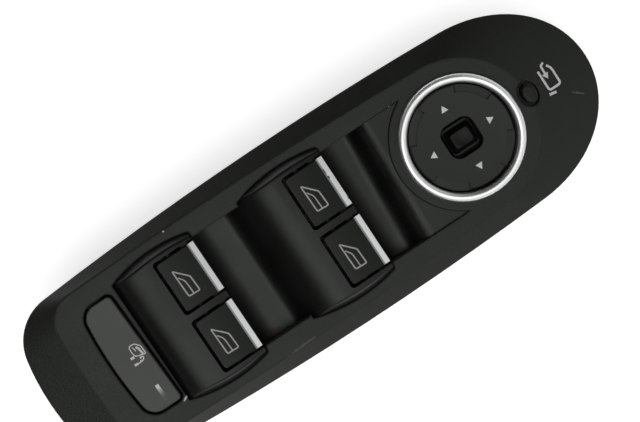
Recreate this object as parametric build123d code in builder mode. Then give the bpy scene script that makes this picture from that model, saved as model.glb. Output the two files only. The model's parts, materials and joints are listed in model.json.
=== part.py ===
"""Door switch panel: four window rockers, a lock button and a mirror control in one sloping bezel.

+X is the mirror end, +Y the left side, +Z up. The origin lies under the middle of the bezel, on the plane
of the lower casing's underside. All lengths are in millimetres.
"""

import os
from math import cos, radians, sin, sqrt, tan

from build123d import *

os.makedirs("parts", exist_ok=True)

# Bezel, as a chain of lengths from its rear edge to its front edge
REAR_FLANGE = 15.8
LOCK_MARGIN = 8.4
LOCK_LENGTH = 12.9
LOCK_GAP = 0.8
LOCK_SKEW = 0.6
RIDGE = 0.7
HUMP_LENGTH = 30.2
WAVE_PITCH = 50.0
FRONT_FLOOR = 10.3
FRONT_SLOPE = 7.0
FRONT_FLAT = 0.4
CREASE_NOSE = 25.8
NOSE_FLANGE = 23.3

# Bezel, across and in section
SIDE_FLANGE = 6.0
FLANGE_RISE = 4.3
RIM_BAND = 1.2
BEZEL_WALL = 2.4
CREASE_WALL = 1.0
RIBS = 6
RIB_PITCH = 17.0
RIB_THICK = 1.2
RIB_STEP = 0.3
REAR_BOW = 5.6
REAR_CORNER = 17.5
REAR_NARROWING = 4.2
NOSE_NARROWING = 1.9
NOSE_TAPER_LENGTH = 36.5
CREASE_CORNER = 10.0
CREASE_BOW = 1.2
DECK_HEIGHT = 33.5
SEAM = 0.15

# Rockers and the wave between them
ROCKER_LENGTH = 14.5
ROCKER_WIDTH = 18.4
ROCKER_GAP = 0.9
ROCKER_OVERHANG = 0.2
ROCKER_PROUD = 0.15
ROCKER_WALL = 1.3
ROCKER_CORNER = 1.2
ROCKER_EDGE = 0.4
ROCKER_ROOF = 1.0
ROCKER_SKIRT = 5.0
ROCKER_LIP = 2.6
ROCKER_SWING = 6.0
PIVOT_SETBACK = 9.7
PIVOT_DEPTH = 1.0
TRUNNION_RADIUS = 1.4
TRUNNION_FIT = 0.06
TRUNNION_BITE = 1.1
TRUNNION_END = 0.2
DIVIDER = 2.4
HUMP_CREST = 4.2
HUMP_LIP = 2.2
HUMP_START = -1.2
CREST_SETBACK = 17.7
HUMP_DRAFT = 30.0
HUMP_SHOULDER = 1.2
HUMP_FOOT_BULGE = 4.0
REAR_RUN = 2.6
REAR_RISE = 4.1
REAR_PULL = 6.0
VALLEY_PULL = 5.5
CREST_PULL = 12.5
TAB_BULGE = 1.2
CREASE_BULGE = 1.8
HUMP_FOOT_REAR = 1.3
HUMP_FOOT_LIP = 2.3
FRONT_HUMP_FOOT = 31.3
RECESS_DEPTH = 7.0
RECESS_FLOOR = 11.3
RISER_SETBACK = 2.3
RISER_CLEARANCE = 0.5
PANEL_WALL = 2.0
PANEL_TAB = 1.6
FRONT_SINK = 0.8

# Chrome lip on each rocker
TRIM_REACH = 2.4
TRIM_THICK = 0.8
TRIM_DROP = 2.2
TRIM_EDGE = 0.45

# Lock button
LOCK_HALF = 20.7
LOCK_PROUD = 0.7
LOCK_BOW = 1.5
LOCK_REAR_CORNER = 5.2
LOCK_FRONT_CORNER = 1.6
LOCK_WALL = 1.4
LOCK_EDGE = 0.5
LOCK_SKIRT = 6.5
LOCK_TRAVEL = 1.2
LIGHT_LENGTH = 5.9
LIGHT_WIDTH = 1.3
LIGHT_INSET = 4.1
LIGHT_SIDE = 15.4
LIGHT_BASE = 1.5
LIGHT_LEDGE = 0.8

# Casing of the window switches
HOUSING_WALL = 2.0
HOUSING_REAR_ROOM = 1.7
HOUSING_FRONT_ROOM = 16.3
COVER_THICK = 2.4
COVER_CHAMFER = 0.6
SLIDE_FIT = 0.3
EAR_THICK = 2.0
EAR_RADIUS = 2.4
EAR_OFFSET = 2.6
REAR_EAR_Y = 18.0
FRONT_EAR_SETBACK = 6.0
SCREW_RADIUS = 1.1
SCREW_FIT = 0.05
HOLE_FIT = 0.2
HEAD_SINK = 1.5
SCREW_HEAD_RADIUS = 2.1
SCREW_HEAD = 1.4
SCREW_LENGTH = 4.6
POST_RADIUS = 2.0
POST_REAR = 12.0
POST_FRONT = 9.0
POST_SIDE = 4.0
COVER_BOSS = 4.4
CASE_CORNER = 3.0
RAIL_LENGTH = 4.0
RAIL_LIFT = 1.0
PEG_RADIUS = 1.1
PEG_FIT = 0.1

# Circuit board and what it carries
BOARD_SPACE = 10.0
BOARD_THICK = 1.6
BOARD_FIT = 0.4
MAT_THICK = 0.8
MAT_MARGIN = 0.8
DOME_RISE = 2.0
DOME_BASE = 2.4
DOME_TOP = 1.7
LEG_CLEARANCE = 0.15
FOOT_REACH = 6.5
FOOT_THICK = 1.6
FOOT_WIDTH = 5.0
LEVER_LENGTH = 3.6
LED_LENGTH = 2.0
LED_WIDTH = 1.5
LED_HEIGHT = 1.2
LED_OFFSET = 6.0
CHIP_SIZE = 12.0
CHIP_THICK = 1.5
CAPACITOR_RADIUS = 3.0
CAPACITOR_HEIGHT = 7.0
CHIP_STANDOFF = 0.2
LEADS = 8
LEAD_WIDTH = 0.5
LEAD_REACH = 1.2
PLUNGER_INSET = 5.4

# Plugs
PIN_SIZE = 0.7
PIN_PITCH = 2.6
PIN_ROWS = 2.4
PIN_INSET = 1.6
PIN_END = 0.6
LATCH_LENGTH = 4.0
LATCH_RISE = 1.0
SOCKET_WALL = 1.5
MAIN_SOCKET_WIDTH = 20.8
SOCKET_HEIGHT = 5.2
MAIN_SOCKET_DEPTH = 9.5
MAIN_PIN_REACH = 4.6
MAIN_PINS = 6
PLUG_BACK = 3.0
MIRROR_SOCKET_WIDTH = 13.0
MIRROR_SOCKET_DEPTH = 7.4
MIRROR_PIN_REACH = 2.6
MIRROR_PINS = 4
MIRROR_PLUG_OFFSET = 10.5

# Mirror control
RING_OUTER = 20.95
RING_INNER = 18.0
RING_HEIGHT = 2.9
RING_SHOULDER = 1.1
RING_SEAT = 1.05
RING_SKIRT = 4.0
RING_LEAD = 0.4
RING_FIT = 0.1
COLLAR_MARGIN = 3.05
PAD_GAP = 0.6
PAD_RISE = 0.5
PAD_DISH = 0.4
PAD_WALL = 1.4
PAD_SKIRT = 5.0
PAD_TILT = 2.5
PETAL_HALF_ANGLE = 24.0
PETAL_STEP = 0.6
PETAL_RIM = 2.6
NOTCH_WIDTH = 0.7
NOTCH_DEPTH = 1.2
WELL = 12.1
WELL_CORNER = 3.5
WELL_WALL = 1.2
WELL_DEPTH = 7.0
PAD_TAB_WIDTH = 5.0
GIMBAL_DEPTH = 8.0
GIMBAL_ROOM = 4.5
GIMBAL_INNER = 9.4
GIMBAL_OUTER = 12.2
GIMBAL_THICK = 2.2
GIMBAL_PIN = 0.9
GIMBAL_PIN_FIT = 0.05
GIMBAL_POST = 2.2
POST_GAP = 0.6
GIMBAL_POST_WIDTH = 4.6
TOWER = 9.6
TOWER_WALL = 1.2
TOWER_DEPTH = 4.6
KNOB_LENGTH = 9.4
KNOB_WIDTH = 8.0
KNOB_TOP_LENGTH = 6.5
KNOB_TOP_WIDTH = 5.0
KNOB_CORNER = 1.2
KNOB_TOP_CORNER = 0.9
KNOB_RISE = 0.1
KNOB_BASE = 1.4
KNOB_TRAVEL = 1.2
KNOB_STEM = 3.2
KNOB_FIT = 0.25
KNOB_DISH_RADIUS = 11.0
KNOB_DISH = 0.35
FOLD_OFFSET = 26.0
FOLD_HALF_X = 2.4
FOLD_HALF_Y = 3.4
FOLD_GAP = 0.9
FOLD_PROUD = 2.3
FOLD_EDGE = 1.0
FOLD_FLANGE = 1.2
FOLD_LAP = 0.7
FOLD_STEM = 3.0
FOLD_TRAVEL = 1.0
CUP_FIT = 0.15
CUP_WALL = 1.6
CUP_FLOOR = 1.8
LOBE_RADIUS = 9.0
LOBE_STEP = 1.2
MIRROR_STANDOFF = 2.0
MIRROR_POST_X = 12.0
MIRROR_POST_Y = 8.0
FOLD_POST_SETBACK = 1.8
MIRROR_BOARD_THICK = 1.2
MIRROR_MAT_THICK = 0.6
MIRROR_DOME_RISE = 1.6
MIRROR_DOME_BASE = 1.8
MIRROR_DOME_TOP = 1.2
CARRIER_CLEARANCE = 1.8
CARRIER_THICK = 1.4
EAR_ANGLE = 110.0
LEDGE_WIDTH = 1.0
LEDGE_THICK = 1.4
TAB_ROOM = 0.6
SWITCH_WALL = 1.0
SWITCH_HEIGHT = 3.2
STEM_ENTRY = 1.4
BRIDGE_DEPTH = 10.0
BRIDGE_THICK = 1.4

# Spring clips and the hooks on the bezel
BLADE_GAP = 1.9
BLADE_LENGTH = 8.0
BLADE_THICK = 1.6
BLADE_DROP = 9.0
CLIP_SHEET = 0.5
CLIP_WIDTH = 7.0
CLIP_FORWARD = 24.0
CLIP_SPREAD = 1.2
HOOK_WIDTH = 16.0
HOOK_DROP = 5.0
HOOK_REACH = 3.0

# Places along X, from the rear edge forwards
COLLAR_RADIUS = RING_OUTER + COLLAR_MARGIN
PANEL_LENGTH = (
    REAR_FLANGE + LOCK_MARGIN + 2 * LOCK_GAP + LOCK_LENGTH + LOCK_SKEW + RIDGE + HUMP_LENGTH
    + WAVE_PITCH + FRONT_FLOOR + FRONT_SLOPE + FRONT_FLAT + COLLAR_RADIUS + CREASE_NOSE + NOSE_FLANGE
)
RIM_REAR = -PANEL_LENGTH / 2
CREASE_REAR = RIM_REAR + REAR_FLANGE
LOCK_REAR = CREASE_REAR + LOCK_MARGIN + LOCK_GAP
LOCK_FRONT = LOCK_REAR + LOCK_LENGTH
WAVE_START = LOCK_FRONT + LOCK_GAP + LOCK_SKEW + RIDGE
REAR_LIP = WAVE_START + HUMP_LENGTH
FRONT_LIP = REAR_LIP + WAVE_PITCH
FLOOR_END = FRONT_LIP + FRONT_FLOOR
SLOPE_END = FLOOR_END + FRONT_SLOPE
RING_X = SLOPE_END + FRONT_FLAT + COLLAR_RADIUS
FOLD_X = RING_X + FOLD_OFFSET
CREASE_TIP = RING_X + CREASE_NOSE
RIM_TIP = CREASE_TIP + NOSE_FLANGE
TUB_FRONT = SLOPE_END + PANEL_WALL

# Half widths, from the middle outwards
RECESS_HALF = DIVIDER / 2 + 2 * ROCKER_GAP + ROCKER_WIDTH
ROCKER_Y = DIVIDER / 2 + ROCKER_GAP + ROCKER_WIDTH / 2
TUB_HALF = RECESS_HALF + PANEL_WALL
TAB_HALF = RECESS_HALF + HUMP_FOOT_BULGE + TAB_BULGE
CREASE_HALF = TAB_HALF + CREASE_BULGE
RIM_HALF = CREASE_HALF + SIDE_FLANGE

# Heights, from the underside of the cover upwards
BOARD_BOTTOM = COVER_THICK + BOARD_SPACE
BOARD_TOP = BOARD_BOTTOM + BOARD_THICK
MAT_TOP = BOARD_TOP + MAT_THICK
DOME_HEIGHT = MAT_TOP + DOME_RISE
DECK_UNDER = DECK_HEIGHT - BEZEL_WALL
TAB_UNDER = DECK_UNDER - PANEL_TAB
FLOOR_TOP = DECK_HEIGHT - RECESS_DEPTH
FLOOR_UNDER = FLOOR_TOP - PANEL_WALL
PIVOT_Z = DECK_HEIGHT - PIVOT_DEPTH
RIM_TOP = DECK_HEIGHT - FLANGE_RISE
SEAT = RIM_TOP - RIM_BAND
EAR_TOP = SEAT
MODEL_TOP = DECK_HEIGHT + 4 * HUMP_CREST
LIP_UNDER = DECK_HEIGHT + HUMP_LIP - ROCKER_LIP
RISER_TOP = LIP_UNDER - (PIVOT_SETBACK - RISER_SETBACK) * sin(radians(ROCKER_SWING)) - RISER_CLEARANCE
CREST_RADIUS = (CREST_SETBACK**2 + (HUMP_CREST - HUMP_LIP) ** 2) / (2 * (HUMP_CREST - HUMP_LIP))

# Limits of the casing of the window switches
HOUSING_REAR = LOCK_REAR - LOCK_GAP - HOUSING_REAR_ROOM
HOUSING_FRONT = FRONT_LIP + HOUSING_FRONT_ROOM
HOUSING_MID = (HOUSING_REAR + HOUSING_FRONT) / 2
HOUSING_LENGTH = HOUSING_FRONT - HOUSING_REAR
HOUSING_HALF = TAB_HALF
INSIDE_REAR = HOUSING_REAR + HOUSING_WALL
INSIDE_FRONT = HOUSING_FRONT - HOUSING_WALL
INSIDE_HALF = HOUSING_HALF - HOUSING_WALL

ROCKERS = {
    "rear_left": (REAR_LIP, ROCKER_Y),
    "rear_right": (REAR_LIP, -ROCKER_Y),
    "front_left": (FRONT_LIP, ROCKER_Y),
    "front_right": (FRONT_LIP, -ROCKER_Y),
}


# Radii and heights of the mirror control
RING_SKIRT_OUTER = RING_OUTER - RING_SEAT
CUP_INNER = RING_SKIRT_OUTER + CUP_FIT
CUP_OUTER = CUP_INNER + CUP_WALL
PAD_RADIUS = RING_INNER - PAD_GAP
GIMBAL_Z = DECK_HEIGHT - GIMBAL_DEPTH
CARRIER_TOP = GIMBAL_Z - GIMBAL_ROOM
CARRIER_BOTTOM = CARRIER_TOP - CARRIER_THICK
MIRROR_DOME_HEIGHT = CARRIER_BOTTOM - CARRIER_CLEARANCE
MIRROR_MAT_TOP = MIRROR_DOME_HEIGHT - MIRROR_DOME_RISE
MIRROR_BOARD_TOP = MIRROR_MAT_TOP - MIRROR_MAT_THICK
MIRROR_BOARD_BOTTOM = MIRROR_BOARD_TOP - MIRROR_BOARD_THICK
CUP_FLOOR_TOP = MIRROR_BOARD_BOTTOM - MIRROR_STANDOFF
CUP_BOTTOM = CUP_FLOOR_TOP - CUP_FLOOR
MIRROR_PLUG_FLOOR = CUP_FLOOR_TOP - PLUG_BACK
MOUTH_HEIGHT = MIRROR_PLUG_FLOOR - MIRROR_SOCKET_DEPTH
TOWER_TOP = DECK_HEIGHT - TOWER_DEPTH
TAB_RADIUS = PAD_RADIUS - PAD_WALL / 2
PAD_FOOT = MIRROR_DOME_HEIGHT + LEG_CLEARANCE + PAD_RADIUS * sin(radians(PAD_TILT))
FOLD_FOOT = MIRROR_DOME_HEIGHT + LEG_CLEARANCE + FOLD_TRAVEL
SWITCH_X = KNOB_STEM + 2 * KNOB_FIT + 2 * SWITCH_WALL
SWITCH_Y = KNOB_STEM + 2 * KNOB_TRAVEL + 2 * KNOB_FIT + 2 * SWITCH_WALL
SWITCH_TOP = MIRROR_BOARD_TOP + SWITCH_HEIGHT

# Plugs
MAIN_PLUG_WIDTH = MAIN_SOCKET_WIDTH + 2 * SOCKET_WALL
MAIN_PLUG_HEIGHT = SOCKET_HEIGHT + 2 * SOCKET_WALL
MAIN_PLUG_Z = BOARD_BOTTOM - MAIN_PLUG_HEIGHT / 2
MAIN_PLUG_INNER = HOUSING_REAR + HOUSING_WALL
MAIN_PLUG_FLOOR = MAIN_PLUG_INNER - PLUG_BACK
MAIN_PLUG_MOUTH = MAIN_PLUG_FLOOR - MAIN_SOCKET_DEPTH
MIRROR_PLUG_X = RING_X + MIRROR_PLUG_OFFSET

# Where screws, posts, pins and clips stand
CASE_EARS = [(HOUSING_REAR - EAR_OFFSET, side * REAR_EAR_Y) for side in (-1, 1)] + [
    (FRONT_LIP - FRONT_EAR_SETBACK, side * (HOUSING_HALF + EAR_OFFSET)) for side in (-1, 1)
]
CASE_EAR_ROOTS = [(HOUSING_REAR + 1, side * REAR_EAR_Y) for side in (-1, 1)] + [
    (FRONT_LIP - FRONT_EAR_SETBACK, side * (HOUSING_HALF - 1)) for side in (-1, 1)
]
MIRROR_EARS = [
    (
        RING_X + (CUP_OUTER + EAR_OFFSET) * cos(radians(angle)),
        (CUP_OUTER + EAR_OFFSET) * sin(radians(angle)),
    )
    for angle in (-EAR_ANGLE, EAR_ANGLE)
] + [(FOLD_X + LOBE_RADIUS + EAR_OFFSET, 0)]
MIRROR_EAR_ROOTS = [
    (RING_X + (CUP_OUTER - 1) * cos(radians(angle)), (CUP_OUTER - 1) * sin(radians(angle)))
    for angle in (-EAR_ANGLE, EAR_ANGLE)
] + [(FOLD_X + LOBE_RADIUS - 1, 0)]
MIRROR_POSTS = [(RING_X - MIRROR_POST_X, side * MIRROR_POST_Y) for side in (-1, 1)] + [
    (FOLD_X - FOLD_POST_SETBACK, 0)
]
COVER_CORNERS = [
    (x, y)
    for x in (INSIDE_REAR + COVER_BOSS / 2, INSIDE_FRONT - COVER_BOSS / 2)
    for y in (-INSIDE_HALF + COVER_BOSS / 2, INSIDE_HALF - COVER_BOSS / 2)
]
BOARD_POSTS = [
    (x, side * (INSIDE_HALF - POST_SIDE))
    for x in (INSIDE_REAR + POST_REAR, INSIDE_FRONT - POST_FRONT)
    for side in (-1, 1)
]
CLIP_PLACES = [(x, side) for x in (REAR_LIP, FRONT_LIP + CLIP_FORWARD) for side in (-1, 1)]
BLADE_Y = HOUSING_HALF + BLADE_GAP
RIB_REACH = SIDE_FLANGE
RIB_PLACES = [
    (HOUSING_MID + RIB_PITCH * (i - (RIBS - 1) / 2), side * (HOUSING_HALF + SLIDE_FIT + RIB_REACH / 2))
    for i in range(RIBS)
    for side in (-1, 1)
]
LED_PLACES = [
    (lip - PIVOT_SETBACK, y + (LED_OFFSET if y > 0 else -LED_OFFSET)) for lip, y in ROCKERS.values()
] + [(LOCK_FRONT - LIGHT_INSET, -LIGHT_SIDE)]
PLUNGER_X = LOCK_FRONT - PLUNGER_INSET
PIN_SPAN = [PIN_PITCH * (i - (MAIN_PINS - 1) / 2) for i in range(MAIN_PINS)]
PIN_BENDS = (INSIDE_REAR + PIN_INSET, INSIDE_REAR + PIN_INSET + PIN_ROWS)
MAIN_PIN_PLACES = [(x, y) for x in PIN_BENDS for y in PIN_SPAN]
MIRROR_PIN_PLACES = [
    (MIRROR_PLUG_X + row * PIN_ROWS / 2, PIN_PITCH * (i - (MIRROR_PINS - 1) / 2))
    for row in (-1, 1)
    for i in range(MIRROR_PINS)
]
PAD_DIRECTIONS = [(1, 0), (0, 1), (-1, 0), (0, -1)]


def write(part, name):
    """Label one finished piece and write it as its own file."""
    part.label = name
    export_step(part, f"parts/{name}.step")


def crown(x, lip):
    """Height of a hump's long top arc above the base, at x."""
    centre = lip - CREST_SETBACK
    return DECK_HEIGHT + HUMP_CREST - CREST_RADIUS + sqrt(CREST_RADIUS**2 - (x - centre) ** 2)


def egg_outline(rear, tip, rear_half, mid_half, nose_x, nose_half, bow, corner):
    """Closed plan outline: bowed rear end with round corners, bowed sides and a round nose."""
    roundness = 0.552
    with BuildSketch() as shape:
        with BuildLine():
            rear_end = ThreePointArc((rear + bow, -rear_half), (rear, 0), (rear + bow, rear_half))
            side = ThreePointArc(rear_end @ 1, (0, mid_half), (nose_x, nose_half))
            nose = Bezier(
                side @ 1,
                side @ 1 + (side % 1) * roundness * (tip - nose_x),
                (tip, roundness * nose_half),
                (tip, 0),
            )
            mirror(side, about=Plane.XZ)
            mirror(nose, about=Plane.XZ)
        make_face()
        fillet(shape.vertices().sort_by(Axis.X)[:2], corner)
    return shape.sketch_local


def rim_outline(inset=0.0):
    """Outline of the bezel's outer edge."""
    return egg_outline(
        RIM_REAR + inset,
        RIM_TIP - inset,
        RIM_HALF - REAR_NARROWING - inset,
        RIM_HALF - inset,
        RIM_TIP - NOSE_TAPER_LENGTH,
        RIM_HALF - NOSE_NARROWING - inset,
        REAR_BOW,
        REAR_CORNER - inset,
    )


def crease_outline(inset=0.0):
    """Outline of the crease where the deck turns down into the flange."""
    return egg_outline(
        CREASE_REAR + inset,
        CREASE_TIP - inset,
        CREASE_HALF - 0.6 - inset,
        CREASE_HALF - inset,
        RING_X,
        CREASE_NOSE + 0.6 - inset,
        CREASE_BOW,
        CREASE_CORNER - inset,
    )


def wave_void():
    """Everything above the wave, from its rear edge to the mirror collar, seen from the side."""
    crest = DECK_HEIGHT + HUMP_CREST
    lip = DECK_HEIGHT + HUMP_LIP
    start = DECK_HEIGHT + HUMP_START
    shelf = DECK_HEIGHT - FRONT_SINK
    slope_start = REAR_LIP + RECESS_FLOOR
    rear_crest = REAR_LIP - CREST_SETBACK
    front_crest = FRONT_LIP - CREST_SETBACK
    with BuildSketch(Plane.XZ) as void:
        with BuildLine():
            Line((WAVE_START - 1, start), (WAVE_START, start))
            Bezier(
                (WAVE_START, start),
                (WAVE_START + REAR_RUN, start + REAR_RISE),
                (rear_crest - REAR_PULL, crest),
                (rear_crest, crest),
            )
            TangentArc((rear_crest, crest), (REAR_LIP, lip), tangent=(1, 0))
            Polyline((REAR_LIP, lip), (REAR_LIP, FLOOR_TOP), (slope_start, FLOOR_TOP))
            Bezier(
                (slope_start, FLOOR_TOP),
                (slope_start + VALLEY_PULL, FLOOR_TOP),
                (front_crest - CREST_PULL, crest),
                (front_crest, crest),
            )
            TangentArc((front_crest, crest), (FRONT_LIP, lip), tangent=(1, 0))
            Polyline((FRONT_LIP, lip), (FRONT_LIP, FLOOR_TOP), (FLOOR_END, FLOOR_TOP))
            Bezier(
                (FLOOR_END, FLOOR_TOP),
                (FLOOR_END + 0.45 * FRONT_SLOPE, FLOOR_TOP),
                (SLOPE_END - 0.4 * FRONT_SLOPE, shelf),
                (SLOPE_END, shelf),
            )
            Polyline(
                (SLOPE_END, shelf),
                (RING_X, shelf),
                (RING_X, MODEL_TOP),
                (WAVE_START - 1, MODEL_TOP),
                (WAVE_START - 1, start),
            )
        make_face()
    return void.sketch_local


def wave_hollow():
    """Space under the wave, one wall thickness below it and behind the risers, seen from the side."""
    bottom = FLOOR_UNDER - 1
    riser = RISER_SETBACK + PANEL_WALL
    with BuildSketch(Plane.XZ) as hollow:
        with Locations(((WAVE_START + TUB_FRONT) / 2, (bottom + MODEL_TOP) / 2)):
            Rectangle(TUB_FRONT - WAVE_START - 2 * PANEL_WALL, MODEL_TOP - bottom)
        add(wave_void().moved(Location((0, -PANEL_WALL))), mode=Mode.SUBTRACT)
        for lip in (REAR_LIP, FRONT_LIP):
            with Locations((lip - riser / 2, (bottom + MODEL_TOP) / 2)):
                Rectangle(riser + 1, MODEL_TOP - bottom, mode=Mode.SUBTRACT)
    return hollow.sketch_local


def hump_plan(start, lip, lean):
    """Plan of one hump, its bulging sides moved in by a given amount."""
    rear_half = RECESS_HALF + HUMP_FOOT_REAR - lean
    mid_half = RECESS_HALF + HUMP_FOOT_BULGE - lean
    lip_half = RECESS_HALF + HUMP_FOOT_LIP - lean
    middle = lip - 0.83 * CREST_SETBACK
    with BuildSketch() as plan:
        with BuildLine():
            left = ThreePointArc((start, rear_half), (middle, mid_half), (lip, lip_half))
            right = ThreePointArc((start, -rear_half), (middle, -mid_half), (lip, -lip_half))
            Line(left @ 0, right @ 0)
            Line(left @ 1, right @ 1)
        make_face()
    return plan.sketch_local


HUMPS = ((WAVE_START, REAR_LIP), (FRONT_LIP - FRONT_HUMP_FOOT, FRONT_LIP))


def make_humps():
    """The two humps: upright where they pass the bezel, leaning in above the deck, rounded over the top."""
    top = DECK_HEIGHT + HUMP_CREST + 0.5
    lean = (top - DECK_HEIGHT) * tan(radians(HUMP_DRAFT))
    with BuildPart() as humps:
        for start, lip in HUMPS:
            with BuildSketch(Plane.XY.offset(DECK_UNDER)):
                add(hump_plan(start, lip, 0))
            extrude(amount=BEZEL_WALL)
            with BuildSketch(Plane.XY.offset(DECK_HEIGHT)):
                add(hump_plan(start, lip, 0))
            with BuildSketch(Plane.XY.offset(top)):
                add(hump_plan(start, lip, lean))
            loft(ruled=True)
        with BuildSketch(Plane.XZ):
            add(wave_void())
        extrude(amount=2 * TUB_HALF, both=True, mode=Mode.SUBTRACT)
        # rounded shoulders where the crown turns down into the leaning sides
        shoulders = humps.edges().filter_by(
            lambda edge: abs((edge % 0.5).X) > 0.7
            and abs(edge.center().Y) > RECESS_HALF / 2
            and edge.center().Z > DECK_HEIGHT + HUMP_LIP / 2
        )
        fillet(shoulders, HUMP_SHOULDER)
    return humps.part


def wave_opening(gap):
    """Plan of the bezel's opening round the wave."""
    with BuildSketch() as opening:
        with Locations(((WAVE_START + RING_X) / 2, 0)):
            Rectangle(RING_X - WAVE_START, 2 * RECESS_HALF)
        for start, lip in HUMPS:
            add(hump_plan(start, lip, 0))
        offset(amount=gap, kind=Kind.INTERSECTION)
        with Locations((RING_X, 0)):
            Circle(COLLAR_RADIUS, mode=Mode.SUBTRACT)
    return opening.sketch_local


def lock_plan(gap):
    """Plan of the lock button, or of its hole when a gap is given."""
    rear = LOCK_REAR - gap
    front = LOCK_FRONT + gap
    half = LOCK_HALF + gap
    with BuildSketch() as plan:
        with BuildLine():
            back = ThreePointArc((rear + LOCK_BOW, -half), (rear, 0), (rear + LOCK_BOW, half))
            Polyline(back @ 1, (front - LOCK_SKEW, half), (front + LOCK_SKEW, -half), back @ 0)
        make_face()
        corners = plan.vertices().sort_by(Axis.X)
        fillet(corners[:2], LOCK_REAR_CORNER + gap)
        corners = plan.vertices().sort_by(Axis.X)
        fillet(corners[-2:], LOCK_FRONT_CORNER + gap)
    return plan.sketch_local


def mirror_plan(inset):
    """Plan of the mirror control's casing: the round cup and the lobe under the fold button."""
    with BuildSketch() as plan:
        with Locations((RING_X, 0)):
            Circle(CUP_OUTER - inset)
        with Locations((FOLD_X, 0)):
            Circle(LOBE_RADIUS - inset)
        make_hull()
    return plan.sketch_local


def ear_plan(centre, root):
    """Plan of one screw ear: round at the screw, running back to its root in the wall."""
    middle = ((centre[0] + root[0]) / 2, (centre[1] + root[1]) / 2)
    SlotCenterPoint(middle, centre, 2 * EAR_RADIUS)


def make_bezel():
    """Outer moulding: sloping flange, deck with its openings, bosses, clip blades and the rear hook."""
    with BuildPart() as bosses:
        with BuildSketch(Plane.XY.offset(EAR_TOP)):
            with Locations(*CASE_EARS, *MIRROR_EARS):
                Circle(EAR_RADIUS)
            with Locations(*[(x, side * (BLADE_Y + BLADE_THICK / 2)) for x, side in CLIP_PLACES]):
                Rectangle(BLADE_LENGTH, BLADE_THICK)
            with Locations((RIM_REAR + REAR_FLANGE / 2, 0)):
                Rectangle(PANEL_WALL, HOOK_WIDTH)
        extrude(amount=BEZEL_WALL + FLANGE_RISE)
        with BuildSketch(Plane.XY.offset(SEAT + RIB_STEP)):
            with Locations(*RIB_PLACES):
                Rectangle(RIB_THICK, RIB_REACH)
        extrude(amount=BEZEL_WALL + FLANGE_RISE - RIB_STEP)
    with BuildPart() as cavity:
        with BuildSketch(Plane.XY.offset(SEAT)):
            add(rim_outline(BEZEL_WALL))
        with BuildSketch(Plane.XY.offset(DECK_UNDER)):
            add(crease_outline(CREASE_WALL))
        loft(ruled=True)
        add(bosses.part, mode=Mode.SUBTRACT)
    with BuildPart() as bezel:
        with BuildSketch(Plane.XY.offset(SEAT)):
            add(rim_outline())
        extrude(amount=RIM_BAND)
        with BuildSketch(Plane.XY.offset(RIM_TOP)):
            add(rim_outline())
        with BuildSketch(Plane.XY.offset(DECK_HEIGHT)):
            add(crease_outline())
        loft(ruled=True)
        add(cavity.part, mode=Mode.SUBTRACT)
        # openings in the deck
        with BuildSketch(Plane.XY.offset(DECK_UNDER - 1)):
            add(wave_opening(SEAM))
            add(lock_plan(LOCK_GAP))
            with Locations((RING_X, 0)):
                Circle(RING_SKIRT_OUTER + RING_FIT)
            with Locations((FOLD_X, 0)):
                Ellipse(FOLD_HALF_X + FOLD_GAP, FOLD_HALF_Y + FOLD_GAP)
        extrude(amount=BEZEL_WALL + 2, mode=Mode.SUBTRACT)
        # clearance below for the fold button's flange
        with BuildSketch(Plane.XY.offset(SEAT)):
            with Locations((FOLD_X, 0)):
                Ellipse(FOLD_HALF_X + 2 * FOLD_GAP + FOLD_LAP, FOLD_HALF_Y + 2 * FOLD_GAP + FOLD_LAP)
        extrude(amount=DECK_UNDER - SEAT, mode=Mode.SUBTRACT)
        # blades that carry the spring clips
        with BuildSketch(Plane.XY.offset(EAR_TOP)):
            with Locations(*[(x, side * (BLADE_Y + BLADE_THICK / 2)) for x, side in CLIP_PLACES]):
                Rectangle(BLADE_LENGTH, BLADE_THICK)
        extrude(amount=-BLADE_DROP)
        # hook that goes under the door trim first
        hook_x = RIM_REAR + REAR_FLANGE / 2
        with BuildSketch(Plane.XY.offset(EAR_TOP)):
            with Locations((hook_x, 0)):
                Rectangle(PANEL_WALL, HOOK_WIDTH)
        extrude(amount=-HOOK_DROP)
        with BuildSketch(Plane.XY.offset(EAR_TOP - HOOK_DROP)):
            with Locations((hook_x + PANEL_WALL / 2, 0)):
                Rectangle(PANEL_WALL + HOOK_REACH, HOOK_WIDTH, align=(Align.MAX, Align.CENTER))
        extrude(amount=PANEL_WALL)
        # pilot holes for the screws
        with Locations(*[(x, y, EAR_TOP) for x, y in CASE_EARS + MIRROR_EARS]):
            Cylinder(
                SCREW_RADIUS + SCREW_FIT,
                SCREW_LENGTH - EAR_THICK,
                align=(Align.CENTER, Align.CENTER, Align.MIN),
                mode=Mode.SUBTRACT,
            )
    return bezel.part


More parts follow.
